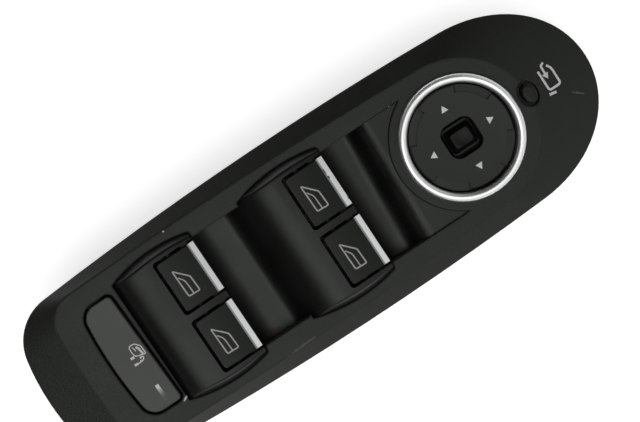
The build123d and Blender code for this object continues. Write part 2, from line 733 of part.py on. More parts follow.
def make_wave_panel():
    """Humped moulding: two humps with rocker pockets, two finger recesses and the shelf to the mirror."""
    tab_front = RING_X - 0.6 * COLLAR_RADIUS
    humps = make_humps()
    with BuildPart() as panel:
        with BuildSketch(Plane.XY.offset(FLOOR_UNDER)):
            with Locations(((WAVE_START + TUB_FRONT) / 2, 0)):
                Rectangle(TUB_FRONT - WAVE_START, 2 * TUB_HALF)
            with Locations((RING_X, 0)):
                Circle(COLLAR_RADIUS + SEAM, mode=Mode.SUBTRACT)
        extrude(amount=DECK_UNDER - FLOOR_UNDER)
        with BuildSketch(Plane.XY.offset(TAB_UNDER)):
            with Locations(((WAVE_START + tab_front) / 2, 0)):
                Rectangle(tab_front - WAVE_START, 2 * TAB_HALF)
            with Locations((RING_X, 0)):
                Circle(COLLAR_RADIUS + SEAM, mode=Mode.SUBTRACT)
            add(crease_outline(CREASE_WALL + SLIDE_FIT), mode=Mode.INTERSECT)
        extrude(amount=PANEL_TAB)
        with BuildSketch(Plane.XY.offset(DECK_UNDER)):
            with Locations(((WAVE_START + RING_X) / 2, 0)):
                Rectangle(RING_X - WAVE_START, 2 * RECESS_HALF)
            with Locations((RING_X, 0)):
                Circle(COLLAR_RADIUS + SEAM, mode=Mode.SUBTRACT)
        extrude(amount=BEZEL_WALL)
        with BuildSketch(Plane.XZ):
            add(wave_void())
        extrude(amount=RECESS_HALF, both=True, mode=Mode.SUBTRACT)
        add(humps)
        for side in (-1, 1):
            with BuildSketch(Plane.XZ.offset(-side * DIVIDER / 2)):
                add(wave_hollow())
            extrude(amount=-side * (RECESS_HALF - DIVIDER / 2), mode=Mode.SUBTRACT)
        # pockets for the rockers, open to the recess in front of them
        for lip, y in ROCKERS.values():
            rear = lip + ROCKER_OVERHANG - ROCKER_LENGTH - ROCKER_GAP
            riser = lip - RISER_SETBACK
            with BuildSketch(Plane.XY.offset(RISER_TOP)) as pocket:
                with Locations(((rear + lip + 1) / 2, y)):
                    Rectangle(lip + 1 - rear, ROCKER_WIDTH + 2 * ROCKER_GAP)
                fillet(pocket.vertices().sort_by(Axis.X)[:2], ROCKER_CORNER)
            extrude(amount=MODEL_TOP - RISER_TOP, mode=Mode.SUBTRACT)
            with BuildSketch(Plane.XY.offset(FLOOR_TOP)):
                with Locations(((riser + lip + 1) / 2, y)):
                    Rectangle(lip + 1 - riser, ROCKER_WIDTH + 2 * ROCKER_GAP)
            extrude(amount=MODEL_TOP - FLOOR_TOP, mode=Mode.SUBTRACT)
        # bearing holes for the rockers' trunnions
        for lip in (REAR_LIP, FRONT_LIP):
            with Locations(Location((lip - PIVOT_SETBACK, 0, PIVOT_Z), (90, 0, 0))):
                Cylinder(
                    TRUNNION_RADIUS + TRUNNION_FIT,
                    2 * (RECESS_HALF + TRUNNION_BITE + TRUNNION_END),
                    mode=Mode.SUBTRACT,
                )
    return panel.part


def trim_points(lip):
    """Section of the chrome strip on a rocker: its underside from the rear, and its front top corner."""
    front = lip + ROCKER_OVERHANG
    back = front - TRIM_REACH
    inner = front - TRIM_THICK
    front_top = crown(front, lip) + ROCKER_PROUD
    back_top = crown(back, lip) + ROCKER_PROUD
    underside = [
        (back, back_top),
        (back, back_top - TRIM_THICK),
        (inner, crown(inner, lip) + ROCKER_PROUD - TRIM_THICK),
        (inner, front_top - TRIM_DROP),
        (front, front_top - TRIM_DROP),
    ]
    return underside, (front, front_top)


def crown_arc(lip, start, end):
    """Top of a rocker between two places along X, as an arc over the hump's crown."""
    middle = (start + end) / 2
    return ThreePointArc(*[(x, crown(x, lip) + ROCKER_PROUD) for x in (start, middle, end)])


def make_trim(lip, y):
    """Chrome strip on one rocker."""
    underside, tip = trim_points(lip)
    with BuildPart() as trim:
        with BuildSketch(Plane.XZ.offset(-y - ROCKER_WIDTH / 2)):
            with BuildLine():
                Polyline(*underside, tip)
                crown_arc(lip, underside[0][0], tip[0])
            make_face()
        extrude(amount=ROCKER_WIDTH)
        front = trim.faces().sort_by(Axis.X)[-1]
        fillet(front.edges().sort_by(Axis.Z)[-1], TRIM_EDGE)
    return trim.part


def make_rocker(lip, y):
    """One rocker: crowned cap with a finger lip, a hollow skirt, trunnions and the lever to its contacts."""
    front = lip + ROCKER_OVERHANG
    rear = front - ROCKER_LENGTH
    pivot = lip - PIVOT_SETBACK
    skirt_front = lip - RISER_SETBACK - PANEL_WALL - ROCKER_GAP
    skirt_bottom = DECK_HEIGHT - ROCKER_SKIRT
    roof = LIP_UNDER + ROCKER_ROOF
    foot_bottom = DOME_HEIGHT + LEG_CLEARANCE + FOOT_REACH * sin(radians(ROCKER_SWING))
    underside, tip = trim_points(lip)
    with BuildPart() as rocker:
        # cap, with the rebate for the chrome strip
        with BuildSketch(Plane.XZ.offset(-y - ROCKER_WIDTH / 2)):
            with BuildLine():
                Polyline(
                    *underside,
                    (front, LIP_UNDER),
                    (rear, LIP_UNDER),
                    (rear, crown(rear, lip) + ROCKER_PROUD),
                )
                crown_arc(lip, rear, underside[0][0])
            make_face()
        extrude(amount=ROCKER_WIDTH)
        fillet(rocker.edges().filter_by(Axis.Z).group_by(Axis.X)[0], ROCKER_CORNER)
        fillet(rocker.faces().sort_by(Axis.Z)[-1].edges().filter_by(GeomType.CIRCLE), ROCKER_EDGE)
        # hollow skirt
        with BuildSketch(Plane.XY.offset(skirt_bottom)) as skirt:
            with Locations(((rear + skirt_front) / 2, y)):
                Rectangle(skirt_front - rear, ROCKER_WIDTH)
            fillet(skirt.vertices().sort_by(Axis.X)[:2], ROCKER_CORNER)
        extrude(amount=LIP_UNDER - skirt_bottom)
        with BuildSketch(Plane.XY.offset(skirt_bottom)):
            with Locations(((rear + skirt_front) / 2, y)):
                Rectangle(skirt_front - rear - 2 * ROCKER_WALL, ROCKER_WIDTH - 2 * ROCKER_WALL)
        extrude(amount=roof - skirt_bottom, mode=Mode.SUBTRACT)
        # lever with its cross foot
        with BuildSketch(Plane.XY.offset(foot_bottom)):
            with Locations((pivot, y)):
                Rectangle(LEVER_LENGTH, FOOT_WIDTH)
        extrude(amount=roof + ROCKER_ROOF / 2 - foot_bottom)
        with BuildSketch(Plane.XY.offset(foot_bottom)):
            with Locations((pivot, y)):
                Rectangle(2 * FOOT_REACH, FOOT_WIDTH)
        extrude(amount=FOOT_THICK)
        # trunnions at both sides
        for side in (-1, 1):
            with BuildSketch(Plane.XZ.offset(-y - side * (ROCKER_WIDTH / 2 - ROCKER_WALL))):
                with Locations((pivot, PIVOT_Z)):
                    Circle(TRUNNION_RADIUS)
            extrude(amount=-side * (ROCKER_WALL + ROCKER_GAP + TRUNNION_BITE))
    return rocker.part


def make_lock_button():
    """Wide push button: shallow cap with a skirt, a slot for the light and the plunger to its contact."""
    top = DECK_HEIGHT + LOCK_PROUD
    bottom = top - LOCK_SKIRT
    foot_bottom = DOME_HEIGHT + LEG_CLEARANCE + LOCK_TRAVEL
    with BuildPart() as button:
        with BuildSketch(Plane.XY.offset(bottom)):
            add(lock_plan(0))
        extrude(amount=LOCK_SKIRT)
        fillet(button.faces().sort_by(Axis.Z)[-1].edges(), LOCK_EDGE)
        with BuildSketch(Plane.XY.offset(bottom)):
            add(lock_plan(-LOCK_WALL))
        extrude(amount=LOCK_SKIRT - LOCK_WALL, mode=Mode.SUBTRACT)
        with BuildSketch(Plane.XY.offset(foot_bottom)):
            with Locations((PLUNGER_X, 0)):
                Rectangle(LEVER_LENGTH, FOOT_WIDTH)
        extrude(amount=top - LOCK_WALL - foot_bottom)
        with BuildSketch(Plane.XY.offset(bottom)):
            with Locations((LOCK_FRONT - LIGHT_INSET, -LIGHT_SIDE)):
                Rectangle(LIGHT_WIDTH, LIGHT_LENGTH)
        extrude(amount=LOCK_SKIRT, mode=Mode.SUBTRACT)
    return button.part


def make_lock_light():
    """Light guide: a thin bar that shows on top of the lock button."""
    top = DECK_HEIGHT + LOCK_PROUD
    with BuildPart() as light:
        with BuildSketch(Plane.XY.offset(top)):
            with Locations((LOCK_FRONT - LIGHT_INSET, -LIGHT_SIDE)):
                Rectangle(LIGHT_WIDTH, LIGHT_LENGTH)
        extrude(amount=-(LOCK_WALL + LIGHT_BASE))
        with BuildSketch(Plane.XY.offset(top - LOCK_WALL)):
            with Locations((LOCK_FRONT - LIGHT_INSET, -LIGHT_SIDE)):
                Rectangle(LIGHT_WIDTH + 2 * LIGHT_LEDGE, LIGHT_LENGTH + 2 * LIGHT_LEDGE)
        extrude(amount=-LIGHT_BASE)
    return light.part


def make_housing():
    """Casing of the window switches: open box with screw ears, corner bosses and guide rails."""
    with BuildPart() as housing:
        with BuildSketch(Plane.XY.offset(COVER_THICK)) as outer:
            with Locations((HOUSING_MID, 0)):
                RectangleRounded(HOUSING_LENGTH, 2 * HOUSING_HALF, CASE_CORNER)
        extrude(amount=TAB_UNDER - COVER_THICK)
        with BuildSketch(Plane.XY.offset(COVER_THICK)):
            with Locations((HOUSING_MID, 0)):
                Rectangle(INSIDE_FRONT - INSIDE_REAR, 2 * INSIDE_HALF)
        extrude(amount=TAB_UNDER - COVER_THICK, mode=Mode.SUBTRACT)
        # corner bosses for the cover's screws, below the board
        with BuildSketch(Plane.XY.offset(COVER_THICK)):
            with Locations(*COVER_CORNERS):
                Rectangle(COVER_BOSS, COVER_BOSS)
        extrude(amount=BOARD_SPACE - 1)
        # ears that screw to the bezel
        with BuildSketch(Plane.XY.offset(EAR_TOP)):
            for centre, root in zip(CASE_EARS, CASE_EAR_ROOTS):
                ear_plan(centre, root)
            with Locations((HOUSING_MID, 0)):
                Rectangle(HOUSING_LENGTH - 2, 2 * HOUSING_HALF - 2, mode=Mode.SUBTRACT)
        extrude(amount=-EAR_THICK)
        with Locations(*[(x, y, EAR_TOP) for x, y in CASE_EARS]):
            Cylinder(SCREW_RADIUS + SCREW_FIT, 3 * EAR_THICK, mode=Mode.SUBTRACT)
        with Locations(*[(x, y, COVER_THICK) for x, y in COVER_CORNERS]):
            Cylinder(
                SCREW_RADIUS + SCREW_FIT,
                BOARD_SPACE - 2,
                align=(Align.CENTER, Align.CENTER, Align.MIN),
                mode=Mode.SUBTRACT,
            )
        # notch in the front wall where the wave panel's tub passes
        with BuildSketch(Plane.XY.offset(FLOOR_UNDER - SLIDE_FIT)):
            with Locations((HOUSING_FRONT - HOUSING_WALL / 2, 0)):
                Rectangle(2 * HOUSING_WALL, 2 * (TUB_HALF + SLIDE_FIT))
        extrude(amount=TAB_UNDER, mode=Mode.SUBTRACT)
        # rails beside the lock button
        rail = INSIDE_HALF - LOCK_HALF - SLIDE_FIT
        with BuildSketch(Plane.XY.offset(MAT_TOP + RAIL_LIFT)):
            for side in (-1, 1):
                with Locations(((LOCK_REAR + LOCK_FRONT) / 2, side * (INSIDE_HALF - rail / 2))):
                    Rectangle(RAIL_LENGTH, rail)
        extrude(amount=TAB_UNDER - MAT_TOP - RAIL_LIFT)
        # window for the main plug in the rear wall
        with BuildSketch(Plane.YZ.offset(HOUSING_REAR - 1)):
            with Locations((0, BOARD_BOTTOM - MAIN_PLUG_HEIGHT / 2)):
                Rectangle(MAIN_PLUG_WIDTH, MAIN_PLUG_HEIGHT)
        extrude(amount=HOUSING_WALL + 2, mode=Mode.SUBTRACT)
    return housing.part


def make_cover():
    """Bottom cover with the posts that hold the board."""
    with BuildPart() as cover:
        with BuildSketch():
            with Locations((HOUSING_MID, 0)):
                RectangleRounded(HOUSING_LENGTH, 2 * HOUSING_HALF, CASE_CORNER)
        extrude(amount=COVER_THICK)
        chamfer(cover.faces().sort_by(Axis.Z)[0].edges(), COVER_CHAMFER)
        with BuildSketch(Plane.XY.offset(COVER_THICK)):
            with Locations(*BOARD_POSTS):
                Circle(POST_RADIUS)
        extrude(amount=BOARD_SPACE)
        with BuildSketch(Plane.XY.offset(BOARD_BOTTOM)):
            with Locations(*BOARD_POSTS):
                Circle(PEG_RADIUS)
        extrude(amount=BOARD_THICK)
        # clearance holes, counterbored for the screw heads
        shank = (SCREW_RADIUS + HOLE_FIT, COVER_THICK)
        head = (SCREW_HEAD_RADIUS + HOLE_FIT, HEAD_SINK)
        for radius, depth in (shank, head):
            with BuildSketch():
                with Locations(*COVER_CORNERS):
                    Circle(radius)
            extrude(amount=depth, mode=Mode.SUBTRACT)
    return cover.part


def make_screws(places, head_under):
    """Pan-head screws driven upwards, all with their heads' upper faces at one height."""
    with BuildPart() as screws:
        with BuildSketch(Plane.XY.offset(head_under - SCREW_HEAD)):
            with Locations(*places):
                Circle(SCREW_HEAD_RADIUS)
        extrude(amount=SCREW_HEAD)
        with BuildSketch(Plane.XY.offset(head_under)):
            with Locations(*places):
                Circle(SCREW_RADIUS)
        extrude(amount=SCREW_LENGTH - HOLE_FIT)
    return screws.part


def make_board():
    """Circuit board of the window switches, with peg and pin holes."""
    with BuildPart() as board:
        with BuildSketch(Plane.XY.offset(BOARD_BOTTOM)):
            with Locations(((INSIDE_REAR + INSIDE_FRONT) / 2, 0)):
                Rectangle(INSIDE_FRONT - INSIDE_REAR - 2 * BOARD_FIT, 2 * (INSIDE_HALF - BOARD_FIT))
            with Locations(*BOARD_POSTS):
                Circle(PEG_RADIUS + PEG_FIT, mode=Mode.SUBTRACT)
            with Locations(*MAIN_PIN_PLACES):
                Rectangle(PIN_SIZE, PIN_SIZE, mode=Mode.SUBTRACT)
        extrude(amount=BOARD_THICK)
    return board.part


def make_contact_mat():
    """Silicone mat: a dome under each end of each rocker's foot and one under the lock button."""
    domes = [
        (lip - PIVOT_SETBACK + sign * (FOOT_REACH - DOME_TOP), y)
        for lip, y in ROCKERS.values()
        for sign in (-1, 1)
    ] + [(PLUNGER_X, 0)]
    rear = PIN_BENDS[1] + PIN_SIZE / 2 + BOARD_FIT
    front = INSIDE_FRONT - BOARD_FIT - MAT_MARGIN
    with BuildPart() as mat:
        with BuildSketch(Plane.XY.offset(BOARD_TOP)):
            with Locations(((rear + front) / 2, 0)):
                Rectangle(front - rear, 2 * (INSIDE_HALF - BOARD_FIT - MAT_MARGIN))
            with Locations(*LED_PLACES):
                Rectangle(LED_LENGTH + 2 * HOLE_FIT, LED_WIDTH + 2 * HOLE_FIT, mode=Mode.SUBTRACT)
        extrude(amount=MAT_THICK)
        with Locations(*[(x, y, MAT_TOP) for x, y in domes]):
            Cone(DOME_BASE, DOME_TOP, DOME_RISE, align=(Align.CENTER, Align.CENTER, Align.MIN))
    return mat.part


def make_leds():
    """Lamps on the board: one beside each rocker's lever and one under the lock button's light guide."""
    with BuildPart() as leds:
        with BuildSketch(Plane.XY.offset(BOARD_TOP)):
            with Locations(*LED_PLACES):
                Rectangle(LED_LENGTH, LED_WIDTH)
        extrude(amount=LED_HEIGHT)
    return leds.part


def make_chip():
    """Controller chip under the board, with its two rows of leads."""
    with BuildPart() as chip:
        with BuildSketch(Plane.XY.offset(BOARD_BOTTOM - CHIP_STANDOFF)):
            with Locations((HOUSING_MID, 0)):
                Rectangle(CHIP_SIZE, CHIP_SIZE)
        extrude(amount=-CHIP_THICK)
        with BuildSketch(Plane.XY.offset(BOARD_BOTTOM)):
            for side in (-1, 1):
                with Locations((HOUSING_MID, side * (CHIP_SIZE / 2 + LEAD_REACH / 2))):
                    with GridLocations(CHIP_SIZE / LEADS, 1, LEADS, 1):
                        Rectangle(LEAD_WIDTH, LEAD_REACH)
        extrude(amount=-(CHIP_STANDOFF + CHIP_THICK / 2))
    return chip.part


def make_capacitors():
    """Two round capacitors hanging under the board."""
    with BuildPart() as capacitors:
        with BuildSketch(Plane.XY.offset(BOARD_BOTTOM)):
            with Locations((HOUSING_MID + 2 * CHIP_SIZE, 0)):
                with GridLocations(1, 3 * CAPACITOR_RADIUS, 1, 2):
                    Circle(CAPACITOR_RADIUS)
        extrude(amount=-CAPACITOR_HEIGHT)
    return capacitors.part


def make_main_plug():
    """Shrouded plug in the rear wall, open to the rear."""
    with BuildPart() as plug:
        with BuildSketch(Plane.YZ.offset(MAIN_PLUG_MOUTH)):
            with Locations((0, MAIN_PLUG_Z)):
                Rectangle(MAIN_PLUG_WIDTH, MAIN_PLUG_HEIGHT)
        extrude(amount=MAIN_PLUG_INNER - MAIN_PLUG_MOUTH)
        with BuildSketch(Plane.YZ.offset(MAIN_PLUG_MOUTH)):
            with Locations((0, MAIN_PLUG_Z)):
                Rectangle(MAIN_SOCKET_WIDTH, SOCKET_HEIGHT)
        extrude(amount=MAIN_SOCKET_DEPTH, mode=Mode.SUBTRACT)
        # collar against the outside of the casing's wall
        with BuildSketch(Plane.YZ.offset(HOUSING_REAR)):
            with Locations((0, MAIN_PLUG_Z)):
                Rectangle(MAIN_PLUG_WIDTH + 2 * SOCKET_WALL, MAIN_PLUG_HEIGHT + 2 * SOCKET_WALL)
                Rectangle(MAIN_PLUG_WIDTH, MAIN_PLUG_HEIGHT, mode=Mode.SUBTRACT)
        extrude(amount=-SOCKET_WALL)
        # latch ridge on top of the shroud
        with BuildSketch(Plane.XZ):
            with Locations((MAIN_PLUG_MOUTH + LATCH_LENGTH / 2, BOARD_BOTTOM)):
                Polygon((0, 0), (LATCH_LENGTH, 0), (LATCH_LENGTH, LATCH_RISE), align=None)
        extrude(amount=LATCH_LENGTH, both=True)
        with BuildSketch(Plane.YZ.offset(MAIN_PLUG_FLOOR)):
            with Locations((0, MAIN_PLUG_Z)):
                with GridLocations(PIN_PITCH, PIN_ROWS, MAIN_PINS, 2):
                    Rectangle(PIN_SIZE, PIN_SIZE)
        extrude(amount=PLUG_BACK, mode=Mode.SUBTRACT)
    return plug.part


def make_main_pins():
    """Right-angled pins from the plug up through the board."""
    with BuildPart() as pins:
        for row, z in enumerate((MAIN_PLUG_Z + PIN_ROWS / 2, MAIN_PLUG_Z - PIN_ROWS / 2)):
            bend = PIN_BENDS[row]
            with BuildSketch(Plane.YZ.offset(MAIN_PLUG_FLOOR - MAIN_PIN_REACH)):
                with Locations((0, z)):
                    with GridLocations(PIN_PITCH, 1, MAIN_PINS, 1):
                        Rectangle(PIN_SIZE, PIN_SIZE)
            extrude(amount=bend + PIN_SIZE / 2 - MAIN_PLUG_FLOOR + MAIN_PIN_REACH)
            with BuildSketch(Plane.XY.offset(z - PIN_SIZE / 2)):
                with Locations((bend, 0)):
                    with GridLocations(1, PIN_PITCH, 1, MAIN_PINS):
                        Rectangle(PIN_SIZE, PIN_SIZE)
            extrude(amount=BOARD_TOP + PIN_END - z + PIN_SIZE / 2)
    return pins.part


def make_clips():
    """Spring-steel clips: each is a folded strip over a blade, with a belly that snaps behind the trim."""
    with BuildPart() as clips:
        for x, side in CLIP_PLACES:
            inner = BLADE_Y - CLIP_SHEET / 2
            outer = BLADE_Y + BLADE_THICK + CLIP_SHEET / 2
            low = EAR_TOP - BLADE_DROP - CLIP_SHEET / 2
            with BuildSketch(Plane.YZ.offset(x - CLIP_WIDTH / 2)):
                with BuildLine():
                    FilletPolyline(
                        (side * inner, low + 0.7 * BLADE_DROP),
                        (side * inner, low),
                        (side * outer, low),
                        (side * (outer + CLIP_SPREAD), low + 0.5 * BLADE_DROP),
                        (side * (outer + CLIP_SPREAD / 3), low + 0.8 * BLADE_DROP),
                        radius=CLIP_SHEET / 2 + 0.02,
                    )
                trace(line_width=CLIP_SHEET)
            extrude(amount=CLIP_WIDTH)
    return clips.part


def make_mirror_ring():
    """Chrome ring: rounded bead on the deck with a skirt through the bezel."""
    shoulder = DECK_HEIGHT + RING_SHOULDER
    with BuildPart() as ring:
        with BuildSketch(Plane.XZ):
            with BuildLine():
                bead = ThreePointArc(
                    (RING_X + RING_INNER, shoulder),
                    (RING_X + (RING_INNER + RING_OUTER) / 2, DECK_HEIGHT + RING_HEIGHT),
                    (RING_X + RING_OUTER, shoulder),
                )
                Polyline(
                    bead @ 1,
                    (RING_X + RING_OUTER, DECK_HEIGHT),
                    (RING_X + RING_SKIRT_OUTER, DECK_HEIGHT),
                    (RING_X + RING_SKIRT_OUTER, DECK_HEIGHT - RING_SKIRT),
                    (RING_X + RING_INNER + RING_LEAD, DECK_HEIGHT - RING_SKIRT),
                    (RING_X + RING_INNER, DECK_HEIGHT - 0.5 * RING_SKIRT),
                    bead @ 0,
                )
            make_face()
        revolve(axis=Axis((RING_X, 0, 0), (0, 0, 1)))
    return ring.part


def make_mirror_pad():
    """Four-way pad: dished disc with four petals, a square well, pivot ears and tabs down to the contacts."""
    top = DECK_HEIGHT + PAD_RISE
    under = top - PAD_DISH - PAD_WALL
    well_bottom = top - WELL_DEPTH
    centre = (RING_X, 0)
    with BuildSketch() as cross:
        with Locations(centre):
            Rectangle(2 * PAD_RADIUS + 2, PAD_TAB_WIDTH)
            Rectangle(PAD_TAB_WIDTH, 2 * PAD_RADIUS + 2)
    with BuildPart() as pad:
        with BuildSketch(Plane.XZ):
            with BuildLine():
                dish = ThreePointArc(
                    (RING_X, top - PAD_DISH),
                    (RING_X + PAD_RADIUS / 2, top - 0.72 * PAD_DISH),
                    (RING_X + PAD_RADIUS - 0.5, top),
                )
                Polyline(
                    dish @ 1,
                    (RING_X + PAD_RADIUS, top - 0.4),
                    (RING_X + PAD_RADIUS, top - PAD_SKIRT),
                    (RING_X + PAD_RADIUS - PAD_WALL, top - PAD_SKIRT),
                    (RING_X + PAD_RADIUS - PAD_WALL, under),
                    (RING_X, under),
                    dish @ 0,
                )
            make_face()
        revolve(axis=Axis((RING_X, 0, 0), (0, 0, 1)))
        # the rim drops between the petals
        reach = 2 * PAD_RADIUS
        spread = reach * tan(radians(PETAL_HALF_ANGLE))
        with BuildSketch(Plane.XY.offset(top - PETAL_STEP)):
            with Locations(centre):
                Circle(PAD_RADIUS + 1)
                Circle(PAD_RADIUS - PETAL_RIM, mode=Mode.SUBTRACT)
                with PolarLocations(0, 4):
                    Polygon((0, 0), (reach, -spread), (reach, spread), align=None, mode=Mode.SUBTRACT)
        extrude(amount=PETAL_STEP + 1, mode=Mode.SUBTRACT)
        # slots beside the petals
        with BuildSketch(Plane.XY.offset(top - NOTCH_DEPTH)):
            with Locations(centre):
                for side in (-1, 1):
                    with PolarLocations(PAD_RADIUS - (PETAL_RIM - 1) / 2, 4, side * PETAL_HALF_ANGLE):
                        Rectangle(PETAL_RIM + 1, NOTCH_WIDTH)
        extrude(amount=NOTCH_DEPTH + 1, mode=Mode.SUBTRACT)
        # walls of the well
        with BuildSketch(Plane.XY.offset(well_bottom)):
            with Locations(centre):
                RectangleRounded(WELL + 2 * WELL_WALL, WELL + 2 * WELL_WALL, WELL_CORNER + WELL_WALL)
        extrude(amount=under + 0.5 - well_bottom)
        with BuildSketch(Plane.XY.offset(GIMBAL_Z - EAR_THICK)):
            for side in (-1, 1):
                with Locations((RING_X, side * (WELL + WELL_WALL) / 2)):
                    Rectangle(2 * EAR_THICK, WELL_WALL)
        extrude(amount=well_bottom + 1 - GIMBAL_Z + EAR_THICK)
        with BuildSketch(Plane.XY.offset(well_bottom)):
            with Locations(centre):
                RectangleRounded(WELL, WELL, WELL_CORNER)
        extrude(amount=WELL_DEPTH + 1, mode=Mode.SUBTRACT)
        # pins into the gimbal ring
        pin = GIMBAL_INNER + 2 * EAR_THICK / 2 - WELL / 2 - WELL_WALL
        for side in (-1, 1):
            with BuildSketch(Plane.XZ.offset(-side * (WELL / 2 + WELL_WALL))):
                with Locations((RING_X, GIMBAL_Z)):
                    Circle(GIMBAL_PIN)
            extrude(amount=-side * pin)
        # tabs that press the contacts
        with BuildSketch(Plane.XY.offset(PAD_FOOT)):
            with Locations(centre):
                Circle(PAD_RADIUS)
                Circle(PAD_RADIUS - PAD_WALL, mode=Mode.SUBTRACT)
            add(cross.sketch, mode=Mode.INTERSECT)
        extrude(amount=top - PAD_SKIRT + 0.5 - PAD_FOOT)
    return pad.part


def make_gimbal():
    """Ring between pad and carrier: bores across for the pad's pins, its own pins along X."""
    with BuildPart() as gimbal:
        with BuildSketch(Plane.XY.offset(GIMBAL_Z)):
            with Locations((RING_X, 0)):
                Circle(GIMBAL_OUTER)
                Circle(GIMBAL_INNER, mode=Mode.SUBTRACT)
        extrude(amount=GIMBAL_THICK / 2, both=True)
        with BuildSketch(Plane.XZ):
            with Locations((RING_X, GIMBAL_Z)):
                Circle(GIMBAL_PIN + GIMBAL_PIN_FIT)
        extrude(amount=GIMBAL_OUTER + 1, both=True, mode=Mode.SUBTRACT)
        for side in (-1, 1):
            with BuildSketch(Plane.YZ.offset(RING_X + side * (GIMBAL_OUTER - 0.5))):
                with Locations((0, GIMBAL_Z)):
                    Circle(GIMBAL_PIN)
            extrude(amount=side * (0.5 + POST_GAP + GIMBAL_POST - 0.4))
    return gimbal.part


def make_carrier():
    """Plate in the mirror casing: gimbal posts, a tower for the selector, slots for the pad's tabs."""
    stem_x = KNOB_STEM + 2 * KNOB_FIT
    stem_y = KNOB_STEM + 2 * KNOB_TRAVEL + 2 * KNOB_FIT
    inside = TOWER - 2 * TOWER_WALL
    with BuildPart() as carrier:
        with BuildSketch(Plane.XY.offset(CARRIER_BOTTOM)):
            with Locations((RING_X, 0)):
                Circle(CUP_INNER - PEG_FIT)
                with PolarLocations(TAB_RADIUS, 4):
                    Rectangle(PAD_WALL + 2 * TAB_ROOM, PAD_TAB_WIDTH + 2 * TAB_ROOM, mode=Mode.SUBTRACT)
        extrude(amount=CARRIER_THICK)
        with BuildSketch(Plane.XY.offset(CARRIER_TOP)):
            with Locations((RING_X, 0)):
                RectangleRounded(TOWER, TOWER, TOWER_WALL)
            for side in (-1, 1):
                with Locations((RING_X + side * (GIMBAL_OUTER + POST_GAP + GIMBAL_POST / 2), 0)):
                    Rectangle(GIMBAL_POST, GIMBAL_POST_WIDTH)
        extrude(amount=GIMBAL_Z + GIMBAL_PIN + TOWER_WALL - CARRIER_TOP)
        with BuildSketch(Plane.XY.offset(CARRIER_TOP)):
            with Locations((RING_X, 0)):
                RectangleRounded(TOWER, TOWER, TOWER_WALL)
        extrude(amount=TOWER_TOP - CARRIER_TOP)
        with BuildSketch(Plane.XY.offset(CARRIER_BOTTOM)):
            with Locations((RING_X, 0)):
                Rectangle(inside, inside)
        extrude(amount=TOWER_TOP - TOWER_WALL - CARRIER_BOTTOM, mode=Mode.SUBTRACT)
        with BuildSketch(Plane.XY.offset(TOWER_TOP)):
            with Locations((RING_X, 0)):
                Rectangle(stem_x, stem_y)
        extrude(amount=-2 * TOWER_WALL, mode=Mode.SUBTRACT)
        for side in (-1, 1):
            with BuildSketch(Plane.YZ.offset(RING_X + side * GIMBAL_OUTER)):
                with Locations((0, GIMBAL_Z)):
                    Circle(GIMBAL_PIN + GIMBAL_PIN_FIT)
            extrude(amount=side * (POST_GAP + GIMBAL_POST + 1), mode=Mode.SUBTRACT)
    return carrier.part


def make_knob():
    """Left/right selector: tapered cap with a dished top on a long stem."""
    base = TOWER_TOP + SLIDE_FIT
    top = DECK_HEIGHT + KNOB_RISE
    stem_end = SWITCH_TOP - STEM_ENTRY
    with BuildPart() as knob:
        with BuildSketch(Plane.XY.offset(base)):
            with Locations((RING_X, 0)):
                RectangleRounded(KNOB_LENGTH, KNOB_WIDTH, KNOB_CORNER)
        extrude(amount=KNOB_BASE)
        with BuildSketch(Plane.XY.offset(base + KNOB_BASE)):
            with Locations((RING_X, 0)):
                RectangleRounded(KNOB_LENGTH, KNOB_WIDTH, KNOB_CORNER)
        with BuildSketch(Plane.XY.offset(top)):
            with Locations((RING_X, 0)):
                RectangleRounded(KNOB_TOP_LENGTH, KNOB_TOP_WIDTH, KNOB_TOP_CORNER)
        loft(ruled=True)
        with Locations((RING_X, 0, top + KNOB_DISH_RADIUS - KNOB_DISH)):
            Sphere(KNOB_DISH_RADIUS, mode=Mode.SUBTRACT)
        with BuildSketch(Plane.XY.offset(stem_end)):
            with Locations((RING_X, 0)):
                Rectangle(KNOB_STEM, KNOB_STEM)
        extrude(amount=base + 0.5 - stem_end)
    return knob.part


def make_fold_button():
    """Oval button with a domed top, a flange that holds it under the deck and a stem."""
    flange_top = DECK_UNDER - SLIDE_FIT
    with BuildPart() as button:
        with BuildSketch(Plane.XY.offset(flange_top - FOLD_FLANGE)):
            with Locations((FOLD_X, 0)):
                Ellipse(FOLD_HALF_X, FOLD_HALF_Y)
        extrude(amount=DECK_HEIGHT + FOLD_PROUD - flange_top + FOLD_FLANGE)
        fillet(button.faces().sort_by(Axis.Z)[-1].edges(), FOLD_EDGE)
        with BuildSketch(Plane.XY.offset(flange_top - FOLD_FLANGE)):
            with Locations((FOLD_X, 0)):
                Ellipse(FOLD_HALF_X + FOLD_GAP + FOLD_LAP, FOLD_HALF_Y + FOLD_GAP + FOLD_LAP)
        extrude(amount=FOLD_FLANGE)
        with BuildSketch(Plane.XY.offset(FOLD_FOOT)):
            with Locations((FOLD_X, 0)):
                Rectangle(FOLD_STEM, FOLD_STEM)
        extrude(amount=flange_top - FOLD_FOOT)
    return button.part


